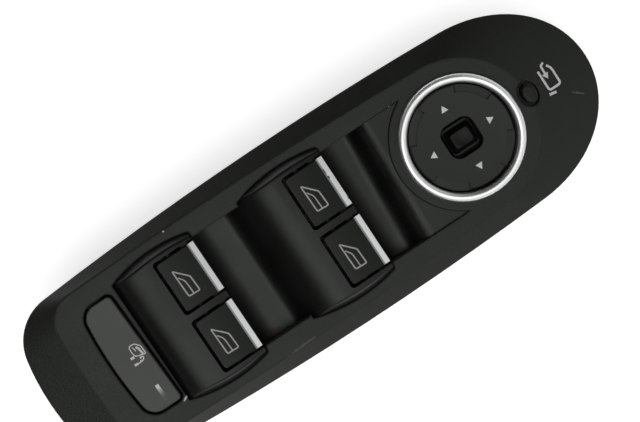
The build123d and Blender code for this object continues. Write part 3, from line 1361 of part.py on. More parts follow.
def make_mirror_housing():
    """Casing of the mirror control: round cup, lobe, screw ears, a ledge and the fold stem's guide."""
    bridge_top = DECK_HEIGHT - BRIDGE_DEPTH
    with BuildPart() as housing:
        with BuildSketch(Plane.XY.offset(CUP_BOTTOM)):
            add(mirror_plan(0))
        extrude(amount=EAR_TOP + LOBE_STEP - CUP_BOTTOM)
        with BuildSketch(Plane.XY.offset(EAR_TOP)):
            with Locations((RING_X, 0)):
                Circle(CUP_OUTER)
        extrude(amount=DECK_UNDER - EAR_TOP)
        with BuildSketch(Plane.XY.offset(EAR_TOP)):
            for centre, root in zip(MIRROR_EARS, MIRROR_EAR_ROOTS):
                ear_plan(centre, root)
        extrude(amount=-EAR_THICK)
        with BuildSketch(Plane.XY.offset(CUP_FLOOR_TOP)):
            add(mirror_plan(CUP_WALL))
        extrude(amount=DECK_UNDER - CUP_FLOOR_TOP, mode=Mode.SUBTRACT)
        with BuildSketch(Plane.XY.offset(EAR_TOP - 2 * EAR_THICK)):
            with Locations(*MIRROR_EARS):
                Circle(SCREW_RADIUS + SCREW_FIT)
        extrude(amount=3 * EAR_THICK, mode=Mode.SUBTRACT)
        # ledge for the carrier
        with BuildSketch(Plane.XY.offset(CARRIER_BOTTOM)):
            with Locations((RING_X, 0)):
                Circle(CUP_INNER + 0.2)
                Circle(CUP_INNER - LEDGE_WIDTH, mode=Mode.SUBTRACT)
        extrude(amount=-LEDGE_THICK)
        # bridge that guides the fold button's stem
        with BuildSketch(Plane.XY.offset(bridge_top)):
            add(mirror_plan(CUP_WALL - 0.2))
            with Locations((RING_X, 0)):
                Circle(CUP_INNER + SLIDE_FIT, mode=Mode.SUBTRACT)
            with Locations((RING_X - CUP_OUTER, 0)):
                Rectangle(2 * (CUP_OUTER + 0.6 * CUP_INNER), 3 * CUP_OUTER, mode=Mode.SUBTRACT)
            with Locations((FOLD_X, 0)):
                Rectangle(FOLD_STEM + 2 * SLIDE_FIT, FOLD_STEM + 2 * SLIDE_FIT, mode=Mode.SUBTRACT)
        extrude(amount=-BRIDGE_THICK)
        # standoffs under the board and the window for the plug
        with BuildSketch(Plane.XY.offset(CUP_FLOOR_TOP)):
            with Locations(*MIRROR_POSTS):
                Circle(POST_RADIUS)
        extrude(amount=MIRROR_STANDOFF)
        with BuildSketch(Plane.XY.offset(CUP_BOTTOM)):
            with Locations((MIRROR_PLUG_X, 0)):
                Rectangle(SOCKET_HEIGHT + 2 * SOCKET_WALL, MIRROR_SOCKET_WIDTH + 2 * SOCKET_WALL)
        extrude(amount=CUP_FLOOR, mode=Mode.SUBTRACT)
    return housing.part


def make_mirror_board():
    """Circuit board of the mirror control."""
    with BuildPart() as board:
        with BuildSketch(Plane.XY.offset(MIRROR_BOARD_BOTTOM)):
            add(mirror_plan(CUP_WALL + BOARD_FIT))
            with Locations(*MIRROR_PIN_PLACES):
                Rectangle(PIN_SIZE, PIN_SIZE, mode=Mode.SUBTRACT)
        extrude(amount=MIRROR_BOARD_THICK)
    return board.part


def make_mirror_mat():
    """Silicone mat of the mirror control: a dome under each petal and one under the fold button."""
    domes = [(RING_X + TAB_RADIUS * x, TAB_RADIUS * y) for x, y in PAD_DIRECTIONS] + [(FOLD_X, 0)]
    with BuildPart() as mat:
        with BuildSketch(Plane.XY.offset(MIRROR_BOARD_TOP)):
            add(mirror_plan(CUP_WALL + BOARD_FIT + MAT_MARGIN / 2))
            with Locations((RING_X, 0)):
                Rectangle(SWITCH_X + 2 * BOARD_FIT, SWITCH_Y + 2 * BOARD_FIT, mode=Mode.SUBTRACT)
            with Locations((MIRROR_PLUG_X, 0)):
                Rectangle(PIN_ROWS + 3 * PIN_SIZE, PIN_PITCH * MIRROR_PINS, mode=Mode.SUBTRACT)
        extrude(amount=MIRROR_MAT_THICK)
        with Locations(*[(x, y, MIRROR_MAT_TOP) for x, y in domes]):
            Cone(
                MIRROR_DOME_BASE,
                MIRROR_DOME_TOP,
                MIRROR_DOME_RISE,
                align=(Align.CENTER, Align.CENTER, Align.MIN),
            )
    return mat.part


def make_selector_switch():
    """Slide switch on the mirror board, with the slot that takes the selector's stem."""
    with BuildPart() as switch:
        with BuildSketch(Plane.XY.offset(MIRROR_BOARD_TOP)):
            with Locations((RING_X, 0)):
                Rectangle(SWITCH_X, SWITCH_Y)
        extrude(amount=SWITCH_HEIGHT)
        with BuildSketch(Plane.XY.offset(SWITCH_TOP)):
            with Locations((RING_X, 0)):
                Rectangle(SWITCH_X - 2 * SWITCH_WALL, SWITCH_Y - 2 * SWITCH_WALL)
        extrude(amount=-(STEM_ENTRY + SLIDE_FIT), mode=Mode.SUBTRACT)
    return switch.part


def make_mirror_plug():
    """Shrouded plug under the mirror casing, open downwards."""
    with BuildPart() as plug:
        with BuildSketch(Plane.XY.offset(MOUTH_HEIGHT)):
            with Locations((MIRROR_PLUG_X, 0)):
                Rectangle(SOCKET_HEIGHT + 2 * SOCKET_WALL, MIRROR_SOCKET_WIDTH + 2 * SOCKET_WALL)
        extrude(amount=MIRROR_SOCKET_DEPTH + PLUG_BACK)
        with BuildSketch(Plane.XY.offset(CUP_BOTTOM)):
            with Locations((MIRROR_PLUG_X, 0)):
                Rectangle(SOCKET_HEIGHT + 4 * SOCKET_WALL, MIRROR_SOCKET_WIDTH + 4 * SOCKET_WALL)
        extrude(amount=-SOCKET_WALL)
        with BuildSketch(Plane.XY.offset(MOUTH_HEIGHT)):
            with Locations((MIRROR_PLUG_X, 0)):
                Rectangle(SOCKET_HEIGHT, MIRROR_SOCKET_WIDTH)
        extrude(amount=MIRROR_SOCKET_DEPTH, mode=Mode.SUBTRACT)
        with BuildSketch(Plane.XY.offset(MIRROR_PLUG_FLOOR)):
            with Locations(*MIRROR_PIN_PLACES):
                Rectangle(PIN_SIZE, PIN_SIZE)
        extrude(amount=PLUG_BACK, mode=Mode.SUBTRACT)
    return plug.part


def make_mirror_pins():
    """Straight pins from the mirror plug up through its board."""
    low = MIRROR_PLUG_FLOOR - MIRROR_PIN_REACH
    with BuildPart() as pins:
        with BuildSketch(Plane.XY.offset(low)):
            with Locations(*MIRROR_PIN_PLACES):
                Rectangle(PIN_SIZE, PIN_SIZE)
        extrude(amount=MIRROR_BOARD_TOP + PIN_END - low)
    return pins.part


write(make_bezel(), "bezel")
write(make_wave_panel(), "wave_panel")
write(make_housing(), "switch_housing")
write(make_cover(), "base_cover")
write(make_screws(CASE_EARS, EAR_TOP - EAR_THICK), "housing_screws")
write(make_screws(COVER_CORNERS, HEAD_SINK), "cover_screws")
write(make_board(), "circuit_board")
write(make_chip(), "control_chip")
write(make_capacitors(), "board_capacitors")
write(make_leds(), "board_leds")
write(make_contact_mat(), "contact_mat")
write(make_main_plug(), "main_connector")
write(make_main_pins(), "main_connector_pins")
write(make_clips(), "mounting_clips")
write(make_lock_button(), "lock_button")
write(make_lock_light(), "lock_light_guide")
for place, (lip_x, rocker_y) in ROCKERS.items():
    write(make_rocker(lip_x, rocker_y), f"rocker_{place}")
    write(make_trim(lip_x, rocker_y), f"trim_{place}")
write(make_mirror_housing(), "mirror_housing")
write(make_screws(MIRROR_EARS, EAR_TOP - EAR_THICK), "mirror_screws")
write(make_mirror_board(), "mirror_board")
write(make_mirror_mat(), "mirror_contact_mat")
write(make_selector_switch(), "selector_switch")
write(make_mirror_plug(), "mirror_connector")
write(make_mirror_pins(), "mirror_connector_pins")
write(make_carrier(), "pad_carrier")
write(make_gimbal(), "pad_gimbal")
write(make_mirror_pad(), "mirror_pad")
write(make_knob(), "selector_knob")
write(make_fold_button(), "fold_button")
write(make_mirror_ring(), "mirror_ring")
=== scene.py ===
"""Looks of the driver's door switch panel: finishes, symbols, wear, camera and light.

Lengths are in metres and share the CAD frame: +X the mirror end, +Y the left side, +Z up.
Places given in millimetres are multiplied by MM.
"""

import json
import math

import bmesh
import bpy
from mathutils import Matrix, Vector
from mathutils.bvhtree import BVHTree


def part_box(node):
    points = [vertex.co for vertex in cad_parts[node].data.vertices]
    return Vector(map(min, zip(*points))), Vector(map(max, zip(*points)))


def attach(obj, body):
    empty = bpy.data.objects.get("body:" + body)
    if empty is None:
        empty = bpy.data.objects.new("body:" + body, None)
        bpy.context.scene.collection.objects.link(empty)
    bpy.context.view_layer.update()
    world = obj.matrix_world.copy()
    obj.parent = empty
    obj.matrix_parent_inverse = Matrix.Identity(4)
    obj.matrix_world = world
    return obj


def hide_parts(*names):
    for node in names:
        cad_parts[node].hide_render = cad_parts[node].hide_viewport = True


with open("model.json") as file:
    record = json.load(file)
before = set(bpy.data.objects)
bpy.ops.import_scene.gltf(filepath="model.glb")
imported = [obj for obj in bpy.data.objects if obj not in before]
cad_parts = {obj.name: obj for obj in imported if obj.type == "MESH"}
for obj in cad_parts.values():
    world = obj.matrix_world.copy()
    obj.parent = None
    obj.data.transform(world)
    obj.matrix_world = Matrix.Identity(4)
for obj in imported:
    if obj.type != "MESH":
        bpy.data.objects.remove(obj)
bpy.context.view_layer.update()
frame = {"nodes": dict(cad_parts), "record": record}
nodes = frame["nodes"]
MM = 0.001

# Camera, fitted to the ring, the chrome strips and the outline in the photograph
IMAGE_WIDTH = 640
FOCAL_PIXELS = 1382
SENSOR = 36
CAMERA_PLACE = Vector((15.0, 40.0, 483.5)) * MM
CAMERA_AIM = Vector((4.6, 5.5, 33.0)) * MM
CAMERA_ROLL = math.radians(-33.46)

# Light of the room: a bright patch overhead, a broad glow on the right, a dimmer one past the mirror end
# Each glow is an axis, the cosines where it starts and where it is full, and its strength
ROOM_DARK = 0.07
GLOWS = [
    ((-0.31, -0.12, 0.94), 0.88, 0.995, 2.00),
    ((-0.05, -0.66, 0.75), 0.50, 0.93, 0.72),
    ((0.96, -0.05, 0.27), 0.45, 0.95, 0.45),
]

# What the floor adds to its own brightness for the camera, in gloss and through clear parts
FLOOR_GLOW = 0.62

# Printed symbols: height over the surface, thickness, step along a line, widths of the lines
INK_LIFT = 0.012 * MM
INK_THICK = 0.02 * MM
INK_STEP = 0.5 * MM
ICON_LINE = 0.46 * MM
FOLD_LINE = 0.75 * MM

# Least cosine by which a line is widened in its corners, and the height from which ink is dropped
SHARPEST_CORNER = 0.6
DROP_HEIGHT = 1.0


def put(tree, socket, value):
    """Link a socket to another one, or give it a value of its own."""
    if isinstance(value, bpy.types.NodeSocket):
        tree.links.new(value, socket)
    else:
        socket.default_value = value


def calculate(tree, operation, a, b):
    """Result of a math node on two sockets or numbers."""
    node = tree.nodes.new("ShaderNodeMath")
    node.operation = operation
    put(tree, node.inputs[0], a)
    put(tree, node.inputs[1], b)
    return node.outputs[0]


def light_paths(tree):
    """Two switches: rays from the camera, and rays that left a glossy or clear surface."""
    path = tree.nodes.new("ShaderNodeLightPath")
    mirrored = calculate(tree, "MAXIMUM", path.outputs["Is Glossy Ray"], path.outputs["Is Transmission Ray"])
    return path.outputs["Is Camera Ray"], mirrored


class Shade:
    """One procedural material: small helpers that add and join shader nodes."""

    def __init__(self, name):
        self.mat = bpy.data.materials.new(name)
        self.mat.use_nodes = True
        self.tree = self.mat.node_tree
        self.tree.nodes.clear()
        self.out = self.tree.nodes.new("ShaderNodeOutputMaterial")
        self.bsdf = self.tree.nodes.new("ShaderNodeBsdfPrincipled")
        self.tree.links.new(self.bsdf.outputs[0], self.out.inputs[0])
        self.coord = self.tree.nodes.new("ShaderNodeTexCoord").outputs["Object"]

    def put(self, socket, value):
        put(self.tree, socket, value)

    def place(self, axis):
        """One coordinate of the object, in metres."""
        node = self.tree.nodes.new("ShaderNodeSeparateXYZ")
        self.tree.links.new(self.coord, node.inputs[0])
        return node.outputs[axis]

    def stretched(self, scale):
        """Object coordinates scaled by axis, for streaks."""
        node = self.tree.nodes.new("ShaderNodeMapping")
        node.inputs["Scale"].default_value = scale
        self.tree.links.new(self.coord, node.inputs["Vector"])
        return node.outputs[0]

    def noise(self, scale, detail=2.0, rough=0.5, vector=None):
        """Noise with so many features a metre."""
        node = self.tree.nodes.new("ShaderNodeTexNoise")
        self.tree.links.new(vector or self.coord, node.inputs["Vector"])
        node.inputs["Scale"].default_value = scale
        node.inputs["Detail"].default_value = detail
        node.inputs["Roughness"].default_value = rough
        return node.outputs["Fac"]

    def cells(self, scale, vector=None):
        """Distance to the nearest of so many cell middles a metre."""
        node = self.tree.nodes.new("ShaderNodeTexVoronoi")
        self.tree.links.new(vector or self.coord, node.inputs["Vector"])
        node.inputs["Scale"].default_value = scale
        return node.outputs["Distance"]

    def step(self, value, low, high, bottom=0.0, top=1.0):
        """A value between low and high spread from bottom to top, and level outside."""
        node = self.tree.nodes.new("ShaderNodeMapRange")
        node.clamp = True
        self.put(node.inputs["Value"], value)
        node.inputs["From Min"].default_value = low
        node.inputs["From Max"].default_value = high
        node.inputs["To Min"].default_value = bottom
        node.inputs["To Max"].default_value = top
        return node.outputs[0]

    def math(self, operation, a, b):
        return calculate(self.tree, operation, a, b)

    def mix(self, factor, a, b):
        """Colour a turning into colour b with the factor."""
        node = self.tree.nodes.new("ShaderNodeMix")
        node.data_type = "RGBA"
        self.put(node.inputs["Factor"], factor)
        self.put(node.inputs["A"], a)
        self.put(node.inputs["B"], b)
        return node.outputs["Result"]

    def patch(self, place, size, turn=0.0, ragged=0.5, grain=900):
        """Mask of one marked place among wear, dirt and painted highlights: an oval round a point of the
        object, with a ragged edge.
        """
        shift = self.tree.nodes.new("ShaderNodeVectorMath")
        shift.operation = "SUBTRACT"
        self.tree.links.new(self.coord, shift.inputs[0])
        shift.inputs[1].default_value = place
        oval = self.tree.nodes.new("ShaderNodeMapping")
        oval.vector_type = "TEXTURE"
        oval.inputs["Rotation"].default_value = (0, 0, turn)
        oval.inputs["Scale"].default_value = size
        self.tree.links.new(shift.outputs[0], oval.inputs["Vector"])
        reach = self.tree.nodes.new("ShaderNodeVectorMath")
        reach.operation = "LENGTH"
        self.tree.links.new(oval.outputs[0], reach.inputs[0])
        rough = self.step(self.noise(grain, 4, 0.7), 0.3, 0.7, -ragged, ragged)
        return self.step(self.math("ADD", reach.outputs["Value"], rough), 0.7, 1.2, 1.0, 0.0)

    def lay_marks(self, color, gloss, marks, dulling, ragged=0.5):
        """Colour and roughness with the named marks laid over them: places of wear and dirt, and painted
        highlights.
        """
        for place, size, turn, tint, strength in marks:
            where = [value * MM for value in place]
            reach = [value * MM for value in size]
            mask = self.math("MULTIPLY", self.patch(where, reach, math.radians(turn), ragged), strength)
            color = self.mix(mask, color, tint)
            gloss = self.math("ADD", gloss, self.math("MULTIPLY", mask, dulling))
        return color, gloss

    def bump(self, height, strength, distance, normal=None):
        """Fine relief on the normal."""
        node = self.tree.nodes.new("ShaderNodeBump")
        self.put(node.inputs["Height"], height)
        node.inputs["Strength"].default_value = strength
        node.inputs["Distance"].default_value = distance
        if normal is not None:
            self.tree.links.new(normal, node.inputs["Normal"])
        return node.outputs[0]

    def done(self, color, roughness, normal=None, metallic=0.0, ior=1.48, **extra):
        """Join everything to the shader and give back the material."""
        self.put(self.bsdf.inputs["Base Color"], color)
        self.put(self.bsdf.inputs["Roughness"], roughness)
        self.bsdf.inputs["Metallic"].default_value = metallic
        self.bsdf.inputs["IOR"].default_value = ior
        if normal is not None:
            self.tree.links.new(normal, self.bsdf.inputs["Normal"])
        for name, value in extra.items():
            self.bsdf.inputs[name].default_value = value
        return self.mat


def grey(level, warmth=0.0):
    """A grey, leaning to red by its warmth."""
    return (level * (1 + warmth), level, level * (1 - warmth), 1.0)


def black(level):
    """Near black of the moulded plastic, which leans a little to green where it is darkest."""
    lean = min(1.0, 0.006 / level)
    return (level * (1 - 0.08 * lean), level * (1 + 0.12 * lean), level * (1 - 0.15 * lean), 1.0)


# Duller foot of the wave panel's wells: heights, distances in front of a lip, added roughness
FOOT_HEIGHTS = (27.0, 30.5)
FOOT_REACH = (1.0, 5.5)
FOOT_START = (-3.0, -2.8)
FOOT_DULLING = 0.42

# Tint of the plastic's gloss
GREENISH = (0.94, 1.0, 0.92, 1)


def plastic(name, level, rough, grain, relief, dust=0.35, ior=1.40, marks=(), lips=(), rounding=0.0):
    """Moulded plastic: fine grain, uneven gloss, handling marks, specks of dust, and named marks of wear and
    dirt and painted highlights.

    The grain and the rounding of creases in the shading are in millimetres; lips are the x of the rocker lips
    in front of which the finish is duller.
    """
    s = Shade(name)
    per_metre = 1 / (grain * MM)
    broad = s.noise(70, 3)
    fine = s.noise(per_metre, 2, 0.6)
    pores = s.cells(1.4 * per_metre)
    color = s.mix(broad, black(level * 0.8), black(level * 1.25))
    color = s.mix(s.step(fine, 0.45, 0.75, top=0.35), color, black(level * 2.0))
    scuffs = s.noise(260, 4, 0.7, s.stretched((1.0, 0.22, 1.0)))
    color = s.mix(s.step(scuffs, 0.66, 0.8, top=0.12 * dust), color, grey(0.16, 0.02))
    chosen = s.step(s.noise(130, 1), 0.62, 0.66)
    speck = s.math("MULTIPLY", s.step(s.cells(420), 0.04, 0.08, 1, 0), chosen)
    color = s.mix(s.math("MULTIPLY", speck, 0.5 * dust), color, grey(0.22, 0.03))
    cloudy = s.step(broad, 0.2, 0.8, rough - 0.04, rough + 0.05)
    gloss = s.math("ADD", cloudy, s.step(fine, 0.3, 0.7, -0.03, 0.03))
    for lip in lips:
        low = s.step(s.place("Z"), *[height * MM for height in FOOT_HEIGHTS], 1.0, 0.0)
        near = s.step(s.place("X"), *[(lip + reach) * MM for reach in FOOT_REACH], FOOT_DULLING, 0.0)
        ahead = s.step(s.place("X"), *[(lip + start) * MM for start in FOOT_START])
        gloss = s.math("ADD", gloss, s.math("MULTIPLY", s.math("MULTIPLY", low, near), ahead))
    color, gloss = s.lay_marks(color, gloss, marks, dulling=0.15)
    height = s.math("ADD", fine, s.math("MULTIPLY", pores, 0.6))
    edge = None
    if rounding:
        soft = s.tree.nodes.new("ShaderNodeBevel")
        soft.samples = 6
        soft.inputs["Radius"].default_value = rounding * MM
        edge = soft.outputs[0]
    normal = s.bump(height, relief, grain * MM * 0.3, edge)
    return s.done(color, gloss, normal, ior=ior, **{"Specular Tint": GREENISH})


# Colour of the painted shade in a band at the rear edge of the chrome lips
LIP_SHADE_GREY = (0.16, 0.17, 0.18, 1)


def chrome(name, marks=(), rough=0.07, bands=()):
    """Bright plated plastic with faint waviness, wiping marks, painted shade in bands across x, and named
    places of wear.
    """
    s = Shade(name)
    wave = s.noise(160, 2)
    wipe = s.noise(900, 3, 0.6, s.stretched((1.0, 0.12, 1.0)))
    color = s.mix(wipe, (0.88, 0.89, 0.89, 1), (0.95, 0.96, 0.96, 1))
    rough = s.math("ADD", s.step(wave, 0.3, 0.7, rough, rough + 0.07), s.step(wipe, 0.5, 0.8, 0.0, 0.08))
    # Painted shade: each band is darker and rougher than the rest of the chrome
    for first, last in bands:
        after = s.step(s.place("X"), first * MM, (first + 0.1) * MM)
        before = s.step(s.place("X"), (last - 0.15) * MM, (last + 0.15) * MM, 1.0, 0.0)
        band = s.math("MULTIPLY", s.math("MULTIPLY", after, before), 0.85)
        color = s.mix(band, color, LIP_SHADE_GREY)
        rough = s.math("ADD", rough, s.math("MULTIPLY", band, 0.2))
    color, rough = s.lay_marks(color, rough, marks, dulling=0.3, ragged=0.8)
    return s.done(color, rough, s.bump(wave, 0.12, 0.3 * MM), metallic=1.0)


def metal(name, color, rough):
    """Bare or plated metal with fine drawing marks."""
    s = Shade(name)
    streak = s.noise(1400, 3, 0.6, s.stretched((1.0, 1.0, 0.15)))
    cloud = s.noise(220, 3)
    dull = tuple(part * 0.8 for part in color) + (1,)
    bright = tuple(min(1, part * 1.1) for part in color) + (1,)
    roughness = s.step(streak, 0.3, 0.7, rough - 0.08, rough + 0.1)
    color = s.mix(cloud, dull, bright)
    return s.done(color, roughness, s.bump(streak, 0.2, 0.05 * MM), metallic=1.0)


def circuit(name):
    """Solder mask over copper tracks, with tinned pads."""
    s = Shade(name)
    mask = s.step(s.cells(300, s.stretched((1.0, 0.45, 1.0))), 0.42, 0.47)
    cloud = s.noise(120, 2)
    base = s.mix(cloud, (0.012, 0.085, 0.035, 1), (0.02, 0.12, 0.05, 1))
    color = s.mix(mask, base, (0.03, 0.2, 0.08, 1))
    pads = s.step(s.cells(260), 0.06, 0.08, 1, 0)
    color = s.mix(pads, color, (0.6, 0.58, 0.5, 1))
    return s.done(color, s.step(cloud, 0.3, 0.7, 0.3, 0.42), s.bump(mask, 0.3, 0.04 * MM))


def soft_rubber(name, color):
    """Silicone with a dry, slightly cloudy skin."""
    s = Shade(name)
    cloud = s.noise(150, 3)
    fine = s.noise(2600, 2)
    dull = tuple(part * 0.85 for part in color) + (1,)
    bright = tuple(part * 1.1 for part in color) + (1,)
    color = s.mix(cloud, dull, bright)
    return s.done(color, s.step(fine, 0.3, 0.7, 0.5, 0.68), s.bump(fine, 0.2, 0.06 * MM))


def symbol_ink(name, level, wear=0.3):
    """Printed symbol ink, thinner in places."""
    s = Shade(name)
    thin = s.noise(900, 3, 0.6)
    color = s.mix(s.step(thin, 0.35, 0.75, top=wear), grey(level), grey(level * 0.4, 0.01))
    return s.done(color, s.step(thin, 0.3, 0.7, 0.45, 0.6), s.bump(thin, 0.1, 0.03 * MM))


# Ends of the lock button's light guide along y
GUIDE_DARK_END, GUIDE_PALE_END = -17.4 * MM, -13.6 * MM


def cloudy_plastic(name, level, fading=False):
    """Cloudy light-coloured plastic; a fading one is pale at its left end and dark at its right end."""
    s = Shade(name)
    cloud = s.noise(500, 2)
    if fading:
        fade = s.step(s.place("Y"), GUIDE_DARK_END, GUIDE_PALE_END)
        color = s.mix(s.math("MULTIPLY", fade, fade), grey(0.012), grey(level))
    else:
        color = s.mix(cloud, grey(level * 0.8), grey(level))
    return s.done(color, s.step(cloud, 0.3, 0.7, 0.22, 0.34), s.bump(cloud, 0.1, 0.1 * MM))


# Marked places of wear and dirt, and painted highlights: centre and half sizes in millimetres, turn in
# degrees, colour, strength
PALE = (0.55, 0.55, 0.53, 1)
RECESS_BROWN = (0.040, 0.019, 0.009, 1)
BEZEL_MARKS = [
    ((-41.8, 28.2, 33.3), (0.38, 0.30, 2.0), 0, PALE, 1.0),
    # Pale line along the south crease: partly a scuff, partly a painted highlight of the crease
    ((-24.6, -28.4, 33.2), (5.5, 0.42, 2.0), 2, grey(0.09, 0.06), 0.65),
    ((96.7, -9.2, 30.5), (2.1, 0.35, 4.0), -42, grey(0.10, 0.0), 0.7),
    # Pale patch at the lock button's corner: a painted glint on a chipped corner
    ((-66.4, -21.6, 33.5), (1.3, 0.35, 0.6), 28, PALE, 0.9),
]
# A brown patch, paler than the panel, in the corner of the rear recess
WAVE_MARKS = [((-30.6, -20.2, 26.6), (3.0, 1.3, 1.6), 4, RECESS_BROWN, 0.8)]
CHROME_MARKS = [
    ((12.9, 15.6, 36.0), (0.45, 0.9, 1.4), 0, grey(0.03), 0.95),
    ((13.1, 13.4, 36.0), (0.30, 0.5, 1.4), 0, grey(0.03), 0.95),
    ((14.8, 4.2, 35.4), (0.25, 0.6, 1.4), 0, grey(0.05), 0.8),
]

# In millimetres along x: the wave panel's rocker lips, and the bands of painted shade at the rear of the
# chrome lips
WAVE_LIPS = (-35.3, 14.7)
STRIP_SHADE_BANDS = [(-37.6, -36.95), (12.4, 13.05)]

finishes = {
    "textured_black": plastic(
        "bezel_grain", level=0.0060, rough=0.43, grain=0.42, relief=0.6, marks=BEZEL_MARKS, rounding=1.1
    ),
    "wave_black": plastic(
        "wave_satin",
        level=0.0026,
        rough=0.36,
        grain=0.22,
        relief=0.25,
        ior=1.38,
        marks=WAVE_MARKS,
        lips=WAVE_LIPS,
    ),
    "button_black": plastic("button_satin", level=0.0042, rough=0.38, grain=0.20, relief=0.22, ior=1.34),
    "pad_black": plastic("pad_satin", level=0.0085, rough=0.42, grain=0.20, relief=0.22),
    "casing_black": plastic("casing_moulded", level=0.016, rough=0.55, grain=0.6, relief=0.3, dust=0.15),
    "cover_black": plastic("cover_moulded", level=0.015, rough=0.52, grain=0.5, relief=0.3, dust=0.15),
    "inner_black": plastic("inner_moulded", level=0.018, rough=0.50, grain=0.4, relief=0.2, dust=0.1),
    "plug_black": plastic("plug_moulded", level=0.012, rough=0.45, grain=0.3, relief=0.2, dust=0.1),
    "chip_black": plastic("chip_epoxy", level=0.012, rough=0.55, grain=0.3, relief=0.3, dust=0.1),
    "board_green": circuit("board_mask"),
    "silicone_grey": soft_rubber("silicone_mat", (0.32, 0.33, 0.33)),
    "led_white": cloudy_plastic("led_clear", 0.8),
    "light_bar": cloudy_plastic("light_guide_clear", 0.55, fading=True),
    "chrome_trim": chrome("chrome_plated", CHROME_MARKS, bands=STRIP_SHADE_BANDS),
    "capacitor_can": metal("capacitor_can", (0.62, 0.63, 0.66), rough=0.35),
    "zinc_screws": metal("zinc_plated", (0.6, 0.6, 0.57), rough=0.32),
    "spring_steel": metal("spring_steel", (0.33, 0.33, 0.34), rough=0.3),
    "pin_tin": metal("pin_tin", (0.72, 0.72, 0.7), rough=0.25),
}
icon_ink = symbol_ink("icon_ink", 0.40)
arrow_ink = symbol_ink("bright_ink", 0.72, wear=0.2)
slots = {row["node"]: row["material_slot"] for row in frame["record"]["subparts"]}
special = {
    # The lock button is a paler grey than the other black parts
    "lock_button": plastic("lock_pale", level=0.0330, rough=0.44, grain=0.20, relief=0.25, ior=1.48),
    "selector_knob": plastic("knob_dull", level=0.0030, rough=0.50, grain=0.20, relief=0.20, ior=1.32),
    "mirror_ring": chrome("ring_plated", rough=0.32),
}
for name, node in nodes.items():
    node.data.materials.clear()
    node.data.materials.append(special.get(name, finishes[slots[name]]))


# Front slope of the wave panel: the photographed one is longer and skewed, so the skin is moved to it
# Heights of its ends, then its first and last x in the solids, and in the photograph at the left and the right
FLOOR_HEIGHT, SHELF_HEIGHT = 26.5 * MM, 32.7 * MM
SOLID_SLOPE = (25.0 * MM, 32.0 * MM)
LEFT_SLOPE = (23.6 * MM, 33.8 * MM)
RIGHT_SLOPE = (20.4 * MM, 32.2 * MM)
SLOPE_HALF = 21.4 * MM
SOLID_PULLS = (0.45, 0.60)
SKIN_PULLS = (0.42, 0.52)
SIDE_MARGIN = 0.03 * MM
HEIGHT_MARGIN = 0.08 * MM
CUT_STEP = 0.55 * MM
CROSS_STEP = 4 * MM
WELD = 0.001 * MM
CUT_MERGE = 0.0001 * MM
HALVINGS = 30
SMOOTH_ANGLE = math.radians(30)


def s_curve(x, low, high, pulls):
    """Share of the rise at x on the curve that the slope follows, level at both ends."""
    if x <= low:
        return 0.0
    if x >= high:
        return 1.0
    goal = (x - low) / (high - low)
    first, last = 0.0, 1.0
    for _ in range(HALVINGS):
        t = (first + last) / 2
        place = 3 * t * (1 - t) ** 2 * pulls[0] + 3 * t**2 * (1 - t) * pulls[1] + t**3
        first, last = (t, last) if place < goal else (first, t)
    return 3 * t**2 * (1 - t) + t**3


def slope_shift(x, y, z):
    """How far the skin moves at a place of the front slope; what lies under the bezel stays."""
    rise = SHELF_HEIGHT - FLOOR_HEIGHT
    present = s_curve(x, *SOLID_SLOPE, SOLID_PULLS)
    on_slope = abs(z - FLOOR_HEIGHT - rise * present) < HEIGHT_MARGIN
    at_side = abs(abs(y) - SLOPE_HALF) < SIDE_MARGIN and on_slope
    if abs(y) > SLOPE_HALF - SIDE_MARGIN and not at_side:
        return 0.0
    across = min(1.0, max(0.0, (SLOPE_HALF - y) / (2 * SLOPE_HALF)))
    low = LEFT_SLOPE[0] + across * (RIGHT_SLOPE[0] - LEFT_SLOPE[0])
    high = LEFT_SLOPE[1] + across * (RIGHT_SLOPE[1] - LEFT_SLOPE[1])
    return rise * (s_curve(x, low, high, SKIN_PULLS) - present)


def reshape_slope():
    """The wave panel with its front slope cut finely and moved to the photographed curve."""
    mesh = nodes["wave_panel"].data.copy()
    mesh.name = "wave_panel_skin"
    build = bmesh.new()
    build.from_mesh(mesh)
    bmesh.ops.remove_doubles(build, verts=build.verts, dist=WELD)
    start, end = RIGHT_SLOPE[0] - CUT_STEP, LEFT_SLOPE[1] + CUT_STEP
    forward, left = Vector((1, 0, 0)), Vector((0, 1, 0))
    cuts = [(start + k * CUT_STEP, forward) for k in range(int((end - start) / CUT_STEP) + 2)]
    cuts += [(k * CROSS_STEP, left) for k in range(-6, 7)]
    for place, normal in cuts:
        near = list(build.faces)
        if normal is left:
            near = [face for face in near if any(start < vert.co.x < end for vert in face.verts)]
        parts = set(near)
        for face in near:
            parts.update(face.edges)
            parts.update(face.verts)
        bmesh.ops.bisect_plane(
            build, geom=list(parts), plane_co=normal * place, plane_no=normal, dist=CUT_MERGE
        )
    for vert in build.verts:
        vert.co.z += slope_shift(*vert.co)
    build.to_mesh(mesh)
    build.free()
    if "custom_normal" in mesh.attributes:
        mesh.attributes.remove(mesh.attributes["custom_normal"])
    mesh.shade_smooth()
    mesh.set_sharp_from_angle(angle=SMOOTH_ANGLE)
    skin = bpy.data.objects.new("wave_panel_skin", mesh)
    bpy.context.scene.collection.objects.link(skin)
    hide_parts("wave_panel")
    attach(skin, "switch_frame")
    return skin


wave_skin = reshape_slope()


